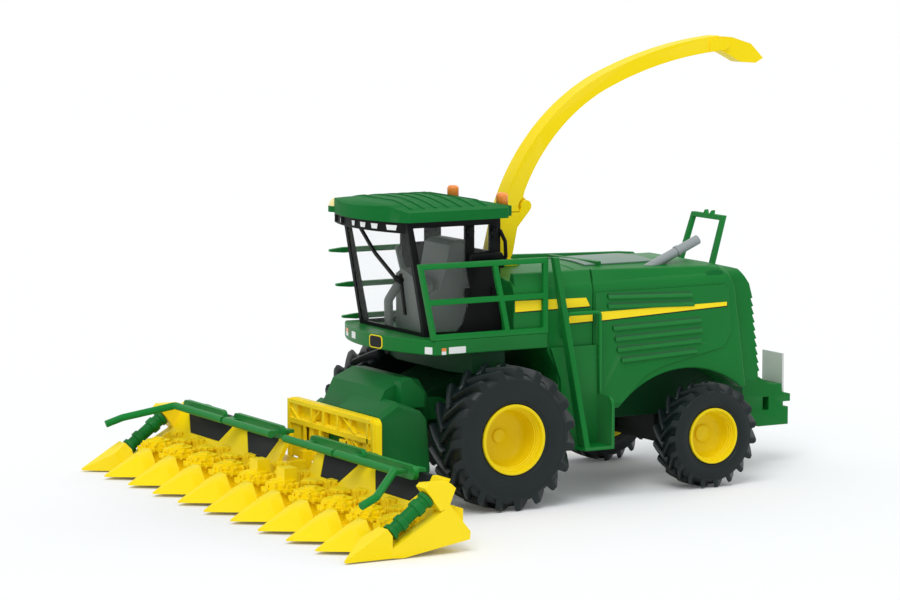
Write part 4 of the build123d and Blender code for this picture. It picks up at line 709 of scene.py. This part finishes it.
# Ribs and braces on the lattice between feeder and header
lattice = {
    "faceFrom": (-35.5, -130, 33),      # in front of a post; the post's face is looked for rearward from here
    "proud": 0.9, "braceProud": 0.7, "sink": 1.0, "braceWidth": 1.2, "look": "yellow", "bevel": 0.15,
    # x0, x1, z0, z1
    "bars": [
        (-36.6, -34.4, 4.5, 37.6), (34.6, 36.6, 8.0, 37.0), (-34.4, 34.6, 36.0, 37.8),
        (-34.4, 34.6, 28.0, 30.2), (-16.3, -14.9, 30.2, 36.0), (-5.8, -4.4, 30.2, 36.0),
        (6.2, 7.6, 30.2, 36.0), (31.2, 32.6, 22.0, 36.0), (-22.6, -21.0, 17.0, 28.0),
        (-9.0, -7.4, 17.0, 28.0), (14.0, 15.4, 20.0, 28.0), (8.5, 17.0, 25.6, 27.0),
    ],
    # x, z to x, z
    "braces": [
        (9.8, 36.6, 20.6, 30.6), (18.2, 29.2, 26.8, 22.0),
        (-34.0, 34.0, -28.0, 30.0), (-14.0, 31.0, -9.0, 35.6),
    ],
}


def addLattice():
    bm = bmesh.new()
    spot = onSkin("attach_frame", at(*lattice["faceFrom"]), (0, 1, 0))
    face = (spot.y - axleY) / mm
    rear = face + lattice["sink"]
    for x0, x1, z0, z1 in lattice["bars"]:
        frontSlab(bm, [(x0, z0), (x1, z0), (x1, z1), (x0, z1)], face - lattice["proud"], rear)
    w = lattice["braceWidth"] / 2
    for x0, z0, x1, z1 in lattice["braces"]:
        outline = [(x0 - w, z0), (x0 + w, z0), (x1 + w, z1), (x1 - w, z1)]
        frontSlab(bm, outline, face - lattice["braceProud"], rear)
    body = frame["nodes"]["attach_frame"]["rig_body"]
    piece("latticeRibs", bm, lattice["look"], body, bevel=lattice["bevel"])


# Teeth, pins and guides round the ten rotors on the header's deck; feet and tops of teeth, nut and pins
# are measured up from the rotor's top
deck = {
    "rows": 10, "rowStep": 23.7, "reach": 104.1,        # reach is the x of the outer rotors
    "run": -79.8, "floor": 4.2, "top": 13.4,
    "rowTurn": 0.37,        # radians from one rotor to the next
    "look": "yellow", "toothBevel": 0.1, "guideBevel": 0.12,
    # count, inner radius, outer radius, foot, top, share of the pitch
    "crownTeeth": (11, 4.6, 6.9, -1.9, -0.7, 0.62),
    "ringTeeth": (17, 7.0, 8.7, -4.6, -3.6, 0.66),
    # radius, foot, top, sides
    "nut": (2.6, -0.2, 0.9, 6),
    "pin": (0.62, -4.2, -1.6, 8), "pins": 9, "pinCircle": 6.9,
    "guideRadius": 10.6, "guideThick": 0.9, "guideTop": 11.5, "guideSink": 0.5,
    "guideArc": (22, 17, 9),        # first degree, step, count
}

# Rolls between and behind the rotors, measured up from a roll's top
feedRolls = {
    "run": -72.4, "top": 14.6,
    "turn": 0.5,        # radians from one roll to the next
    "drum": (3.2, -1.2, 16),        # radius, top, sides; it stands on the deck's floor
    "plate": (3.7, -1.4, 0.0, 24),      # radius, foot, top, sides
    "plateTeeth": (11, 3.5, 5.1, -1.3, -0.2, 0.6),
    "backRun": -69.2, "backTurn": 0.3,
    "backDrum": (3.0, 6, 1.6, 18),      # radius, foot up from the deck's floor, top, sides
    "backTeeth": (9, 2.8, 4.2, 0.2, 1.3, 0.6),
}
toothTaper = 0.35       # width of a tooth's tip, as a share of its root


def ringOfTeeth(bm, x, run, level, teeth, start):
    count, inner, outer, foot, top, share = teeth
    half = pi / count * share
    tip = half * toothTaper
    corners = ((inner, -half), (outer, -tip), (outer, tip), (inner, half))
    for k in range(count):
        a = start + fullTurn * k / count
        outline = [(x + r * cos(a + t), run + r * sin(a + t)) for r, t in corners]
        topSlab(bm, outline, level + foot, level + top)


def disc(bm, x, run, radius, z0, z1, steps):
    topSlab(bm, circle(x, run, radius, steps), z0, z1)


def arcPoints(x, run, radius, arc):
    return [(x + radius * cos(a), run + radius * sin(a)) for a in arc]


def addRow(teeth, guides, x, start):
    run, top = deck["run"], deck["top"]
    ringOfTeeth(teeth, x, run, top, deck["crownTeeth"], start)
    ringOfTeeth(teeth, x, run, top, deck["ringTeeth"], start)
    radius, foot, head, sides = deck["nut"]
    disc(teeth, x, run, radius, top + foot, top + head, sides)
    radius, foot, head, sides = deck["pin"]
    for k in range(deck["pins"]):
        a = start + fullTurn * k / deck["pins"]
        pinX, pinRun = x + deck["pinCircle"] * cos(a), run + deck["pinCircle"] * sin(a)
        disc(teeth, pinX, pinRun, radius, top + foot, top + head, sides)
    first, step, count = deck["guideArc"]
    arc = [radians(first + step * k) for k in range(count)]
    outer = arcPoints(x, run, deck["guideRadius"], arc)
    inner = arcPoints(x, run, deck["guideRadius"] - deck["guideThick"], arc)
    topSlab(guides, outer + inner[::-1], deck["floor"] - deck["guideSink"], deck["guideTop"])


def addFeedRoll(teeth, guides, x, start):
    run, top = feedRolls["run"], feedRolls["top"]
    radius, head, sides = feedRolls["drum"]
    disc(guides, x, run, radius, deck["floor"], top + head, sides)
    radius, foot, head, sides = feedRolls["plate"]
    disc(teeth, x, run, radius, top + foot, top + head, sides)
    ringOfTeeth(teeth, x, run, top, feedRolls["plateTeeth"], start)


def addBackRoll(teeth, x):
    run, top = feedRolls["backRun"], feedRolls["top"]
    radius, foot, head, sides = feedRolls["backDrum"]
    disc(teeth, x, run, radius, deck["floor"] + foot, top + head, sides)
    ringOfTeeth(teeth, x, run, top, feedRolls["backTeeth"], feedRolls["backTurn"])


def addDeck():
    teeth, guides = bmesh.new(), bmesh.new()
    middle = (deck["rows"] - 1) / 2
    places = [(row - middle) * deck["rowStep"] for row in range(deck["rows"])]
    places = [max(-deck["reach"], min(deck["reach"], x)) for x in places]
    for i, x in enumerate(places):
        addRow(teeth, guides, x, deck["rowTurn"] * i)
    for i, (a, b) in enumerate(zip(places, places[1:])):
        addFeedRoll(teeth, guides, (a + b) / 2, feedRolls["turn"] * i)
    for x in places:
        addBackRoll(teeth, x)
    piece("deckTeeth", teeth, deck["look"], "header", bevel=deck["toothBevel"], segments=1)
    piece("deckGuides", guides, deck["look"], "header", bevel=deck["guideBevel"], segments=1)


addLattice()
addDeck()
print("header trim added")

# Both sizes of wheel: outer is x of the outer wall, cap the hub cap's radius, dish how deep the disc lies
wheelSizes = {
    "front": {
        "radius": 28.6, "width": 19.5, "rim": 14.0, "outer": 54.7, "run": 0.0, "cap": 2.8, "dish": 11.9,
    },
    "rear": {
        "radius": 21.5, "width": 14.0, "rim": 11.4, "outer": 46.6, "run": 99.0, "cap": 3.5, "dish": 8.2,
    },
}
wheelLook = {"steps": 96, "tyreLook": "tyre", "tyreSmooth": 32, "rimLook": "rimYellow", "rimSmooth": 28}

# Slanted lugs on each half of a tread; height is a share of the radius, foot and crest of the half width
lugs = {
    "count": 19, "height": 0.085, "sweep": 0.36, "sweepPower": 1.12, "foot": 0.40, "crest": 0.24,
    "chamfer": 0.35, "start": 0.08, "edge": 0.35, "sunk": 1.6, "topGap": 0.02,
    # share of the way out, thickness, under the top, deeper at the foot
    "steps": [
        (0.0, 0.80, 0.5, 0.0), (0.06, 1.0, 0.0, 0.0), (0.30, 0.96, 0.0, 0.0), (0.55, 0.96, 0.0, 0.0),
        (0.78, 1.02, 0.0, 0.0), (0.93, 1.10, 0.05, 0.0), (0.985, 1.10, 0.9, 0.8),
    ],
}


def wheelPoint(size, side, angle, radial, axial):       # axial is outward from the wheel's middle
    x = side * (size["outer"] - size["width"] / 2 + axial)
    return at(x, size["run"] - radial * cos(angle), size["radius"] + radial * sin(angle))


def turned(bm, size, side, profile):        # a closed (radial, axial) profile turned about the axle
    loops = []
    steps = wheelLook["steps"]
    for i in range(steps):
        angle = fullTurn * i / steps
        loops.append([bm.verts.new(wheelPoint(size, side, angle, r, a)) for r, a in profile])
    count = len(profile)
    for i in range(steps):
        a, b = loops[i], loops[(i + 1) % steps]
        for k in range(count):
            m = (k + 1) % count
            bm.faces.new((a[k], a[m], b[m], b[k]))


def lugLoop(size, side, flip, start, step):
    share, bulk, drop, deeper = step
    half, radius, chamfer = size["width"] / 2, size["radius"], lugs["chamfer"]
    axial = flip * (-lugs["start"] * half + share * ((1 + lugs["start"]) * half - lugs["edge"]))
    middle = start + lugs["sweep"] * share ** lugs["sweepPower"]
    foot = lugs["foot"] * half / radius / 2 * bulk
    crest = lugs["crest"] * half / radius / 2 * bulk
    cut = chamfer / radius
    top = radius - lugs["topGap"] - drop
    base = radius * (1 - lugs["height"]) - lugs["sunk"] - deeper
    section = [
        (-foot, base), (-crest, top - chamfer), (cut - crest, top),
        (crest - cut, top), (crest, top - chamfer), (foot, base),
    ]
    return [wheelPoint(size, side, middle + a, r, axial) for a, r in section]


def addTyre(place, sideName, side):
    size = wheelSizes[place]
    half, rim = size["width"] / 2, size["rim"]
    carcass = size["radius"] * (1 - lugs["height"])
    wall = carcass - rim
    # (radial, axial) from the bead, over the wall and its rings, to the shoulder
    outer = [
        (rim - 0.7, half - 1.9), (rim - 0.7, half - 1.25), (rim + 0.25, half - 1.2),
        (rim + 0.45, half - 0.75), (rim + 0.9, half - 0.55), (rim + 1.5, half - 0.5),
        (rim + 1.65, half - 0.3), (rim + 0.30 * wall, half - 0.05), (rim + 0.45 * wall, half),
        (rim + 0.62 * wall, half - 0.12), (rim + 0.78 * wall, half - 0.5), (rim + 0.80 * wall, half - 0.42),
        (rim + 0.86 * wall, half - 0.75), (carcass - 0.9, half - 1.7), (carcass - 0.15, half - 3.0),
        (carcass, half * 0.45),
    ]
    bm = bmesh.new()
    turned(bm, size, side, outer + [(carcass + 0.1, 0)] + [(r, -a) for r, a in outer[::-1]])
    pitch = fullTurn / lugs["count"]
    for k in range(lugs["count"]):
        for flip, shift in ((1, 0.0), (-1, 0.5)):
            rings(bm, [lugLoop(size, side, flip, (k + shift) * pitch, step) for step in lugs["steps"]])
    wheel = f"{place}_{sideName.lower()}"
    piece(f"tyre{place.title()}{sideName}", bm, wheelLook["tyreLook"], "wheel_" + wheel,
          smooth=wheelLook["tyreSmooth"], replaces=("tyre_" + wheel,))


def addRim(place, sideName, side):
    size = wheelSizes[place]
    half, r, cap = size["width"] / 2, size["rim"], size["cap"]
    floor = half - size["dish"]
    # (radial, axial): hub cap and disc, steps of the dish, outer lip, inner lip, boss round the spindle
    profile = [
        (0.02, floor + 0.15), (cap - 0.45, floor + 0.15), (cap - 0.15, floor + 0.02), (cap, floor - 0.25),
        (cap, floor - 1.0), (cap + 0.25, floor - 1.1), (r * 0.40, floor - 1.05), (r * 0.56, floor - 0.95),
        (r * 0.68, floor - 0.45), (r * 0.755, floor + 0.55), (r * 0.80, floor + 2.2), (r * 0.815, half - 4.2),
        (r * 0.835, half - 4.0), (r * 0.84, half - 3.1), (r * 0.86, half - 2.9), (r * 0.865, half - 2.1),
        (r * 0.885, half - 1.9), (r * 0.895, half - 0.7), (r * 0.915, half - 0.15), (r * 0.94, half - 0.02),
        (r * 0.975, half), (r - 0.05, half - 0.15), (r, half - 0.45), (r, half - 1.15),
        (r - 0.85, half - 1.3), (r - 0.85, 1.3 - half), (r, 1.15 - half), (r, 0.4 - half),
        (r - 0.4, 0.2 - half), (r - 1.7, 0.35 - half), (r * 0.83, floor - 2.4), (r * 0.66, floor - 2.3),
        (4.0, floor - 2.3), (4.0, floor - 5.0), (2.26, floor - 5.0), (2.26, floor - 1.25),
        (0.02, floor - 1.25),
    ]
    bm = bmesh.new()
    turned(bm, size, side, profile)
    wheel = f"{place}_{sideName.lower()}"
    piece(f"rim{place.title()}{sideName}", bm, wheelLook["rimLook"], "wheel_" + wheel,
          smooth=wheelLook["rimSmooth"], replaces=("rim_" + wheel,))


for place in wheelSizes:
    for sideName, side in (("Left", 1), ("Right", -1)):
        addTyre(place, sideName, side)
        addRim(place, sideName, side)
print("wheels made")

# White studio; the floor's size and drop are metres
studio = {
    "floorSize": 6.0, "floorDrop": 0.00002, "floorColour": (0.862, 0.868, 0.876), "floorGlow": 0.05,
    "worldLight": 0.66, "worldColour": (0.95, 0.975, 1.0),
    # name: where the light goes, strength, spread in degrees
    "suns": {"key": ((-0.50, 0.50, -1.0), 1.25, 34), "back": ((0.05, -0.95, -1.0), 0.65, 44)},
}


def backdropRays(tree):     # 1 for camera, glossy and transmission rays, 0 for those that light the object
    path = tree.nodes.new("ShaderNodeLightPath")
    value = path.outputs["Is Camera Ray"]
    for name in ("Is Glossy Ray", "Is Transmission Ray"):
        most = tree.nodes.new("ShaderNodeMath")
        most.operation = "MAXIMUM"
        link(tree, [(value, most.inputs[0]), (path.outputs[name], most.inputs[1])])
        value = most.outputs["Value"]
    return value


def paleFloorLook():
    mat = bpy.data.materials.new("paleFloor")
    mat.use_nodes = True
    tree = mat.node_tree
    tree.nodes.clear()
    diffuse = tree.nodes.new("ShaderNodeBsdfDiffuse")
    diffuse.inputs["Color"].default_value = (*studio["floorColour"], 1)
    glow = tree.nodes.new("ShaderNodeEmission")
    seen = tree.nodes.new("ShaderNodeMath")
    seen.operation = "MULTIPLY"
    seen.inputs[1].default_value = studio["floorGlow"]
    both = tree.nodes.new("ShaderNodeAddShader")
    out = tree.nodes.new("ShaderNodeOutputMaterial")
    link(tree, [
        (backdropRays(tree), seen.inputs[0]),
        (seen.outputs["Value"], glow.inputs["Strength"]),
        (diffuse.outputs["BSDF"], both.inputs[0]),
        (glow.outputs["Emission"], both.inputs[1]),
        (both.outputs["Shader"], out.inputs["Surface"]),
    ])
    return mat


def addFloor():
    half, drop = studio["floorSize"] / 2, studio["floorDrop"]
    mesh = bpy.data.meshes.new("floor")
    corners = [(-half, -half, -drop), (half, -half, -drop), (half, half, -drop), (-half, half, -drop)]
    mesh.from_pydata(corners, [], [(0, 1, 2, 3)])
    mesh.materials.append(paleFloorLook())
    obj = bpy.data.objects.new("floor", mesh)
    bpy.context.scene.collection.objects.link(obj)


def addWorld():
    world = bpy.data.worlds.new("studioWorld")
    bpy.context.scene.world = world
    world.use_nodes = True
    tree = world.node_tree
    tree.nodes.clear()
    light = tree.nodes.new("ShaderNodeBackground")
    light.inputs["Color"].default_value = (*studio["worldColour"], 1)
    light.inputs["Strength"].default_value = studio["worldLight"]
    shown = tree.nodes.new("ShaderNodeBackground")      # the white that the camera sees
    shown.inputs["Color"].default_value = (1, 1, 1, 1)
    shown.inputs["Strength"].default_value = 1.0
    mix = tree.nodes.new("ShaderNodeMixShader")
    out = tree.nodes.new("ShaderNodeOutputWorld")
    link(tree, [
        (backdropRays(tree), mix.inputs["Fac"]),
        (light.outputs["Background"], mix.inputs[1]),
        (shown.outputs["Background"], mix.inputs[2]),
        (mix.outputs["Shader"], out.inputs["Surface"]),
    ])


def addSun(name, direction, strength, spread):
    data = bpy.data.lights.new(name, "SUN")
    data.energy = strength
    data.angle = radians(spread)
    obj = bpy.data.objects.new(name, data)
    bpy.context.scene.collection.objects.link(obj)
    obj.rotation_euler = Vector(direction).to_track_quat("-Z", "Y").to_euler()


addFloor()
addWorld()
for name, (direction, strength, spread) in studio["suns"].items():
    addSun(name, direction, strength, spread)
print("studio set")

# The target, the offset from it to the camera and the clips are metres, lens and sensor millimetres
cameraLook = {
    "target": (0, -0.02495, 0.07811), "offset": (1.23994, -0.70152, 0.16710), "lens": 142.35, "sensor": 36.0,
    "clipStart": 0.05, "clipEnd": 30,
}
cameraData = bpy.data.cameras.new("photoCamera")
cameraData.lens = cameraLook["lens"]
cameraData.sensor_width = cameraLook["sensor"]
cameraData.clip_start = cameraLook["clipStart"]
cameraData.clip_end = cameraLook["clipEnd"]
camera = bpy.data.objects.new("photoCamera", cameraData)
bpy.context.scene.collection.objects.link(camera)
camera.location = Vector(cameraLook["target"]) + Vector(cameraLook["offset"])
camera.rotation_euler = (-Vector(cameraLook["offset"])).to_track_quat("-Z", "Y").to_euler()
bpy.context.scene.camera = camera
bpy.context.scene.view_settings.view_transform = "Standard"
print("camera set")
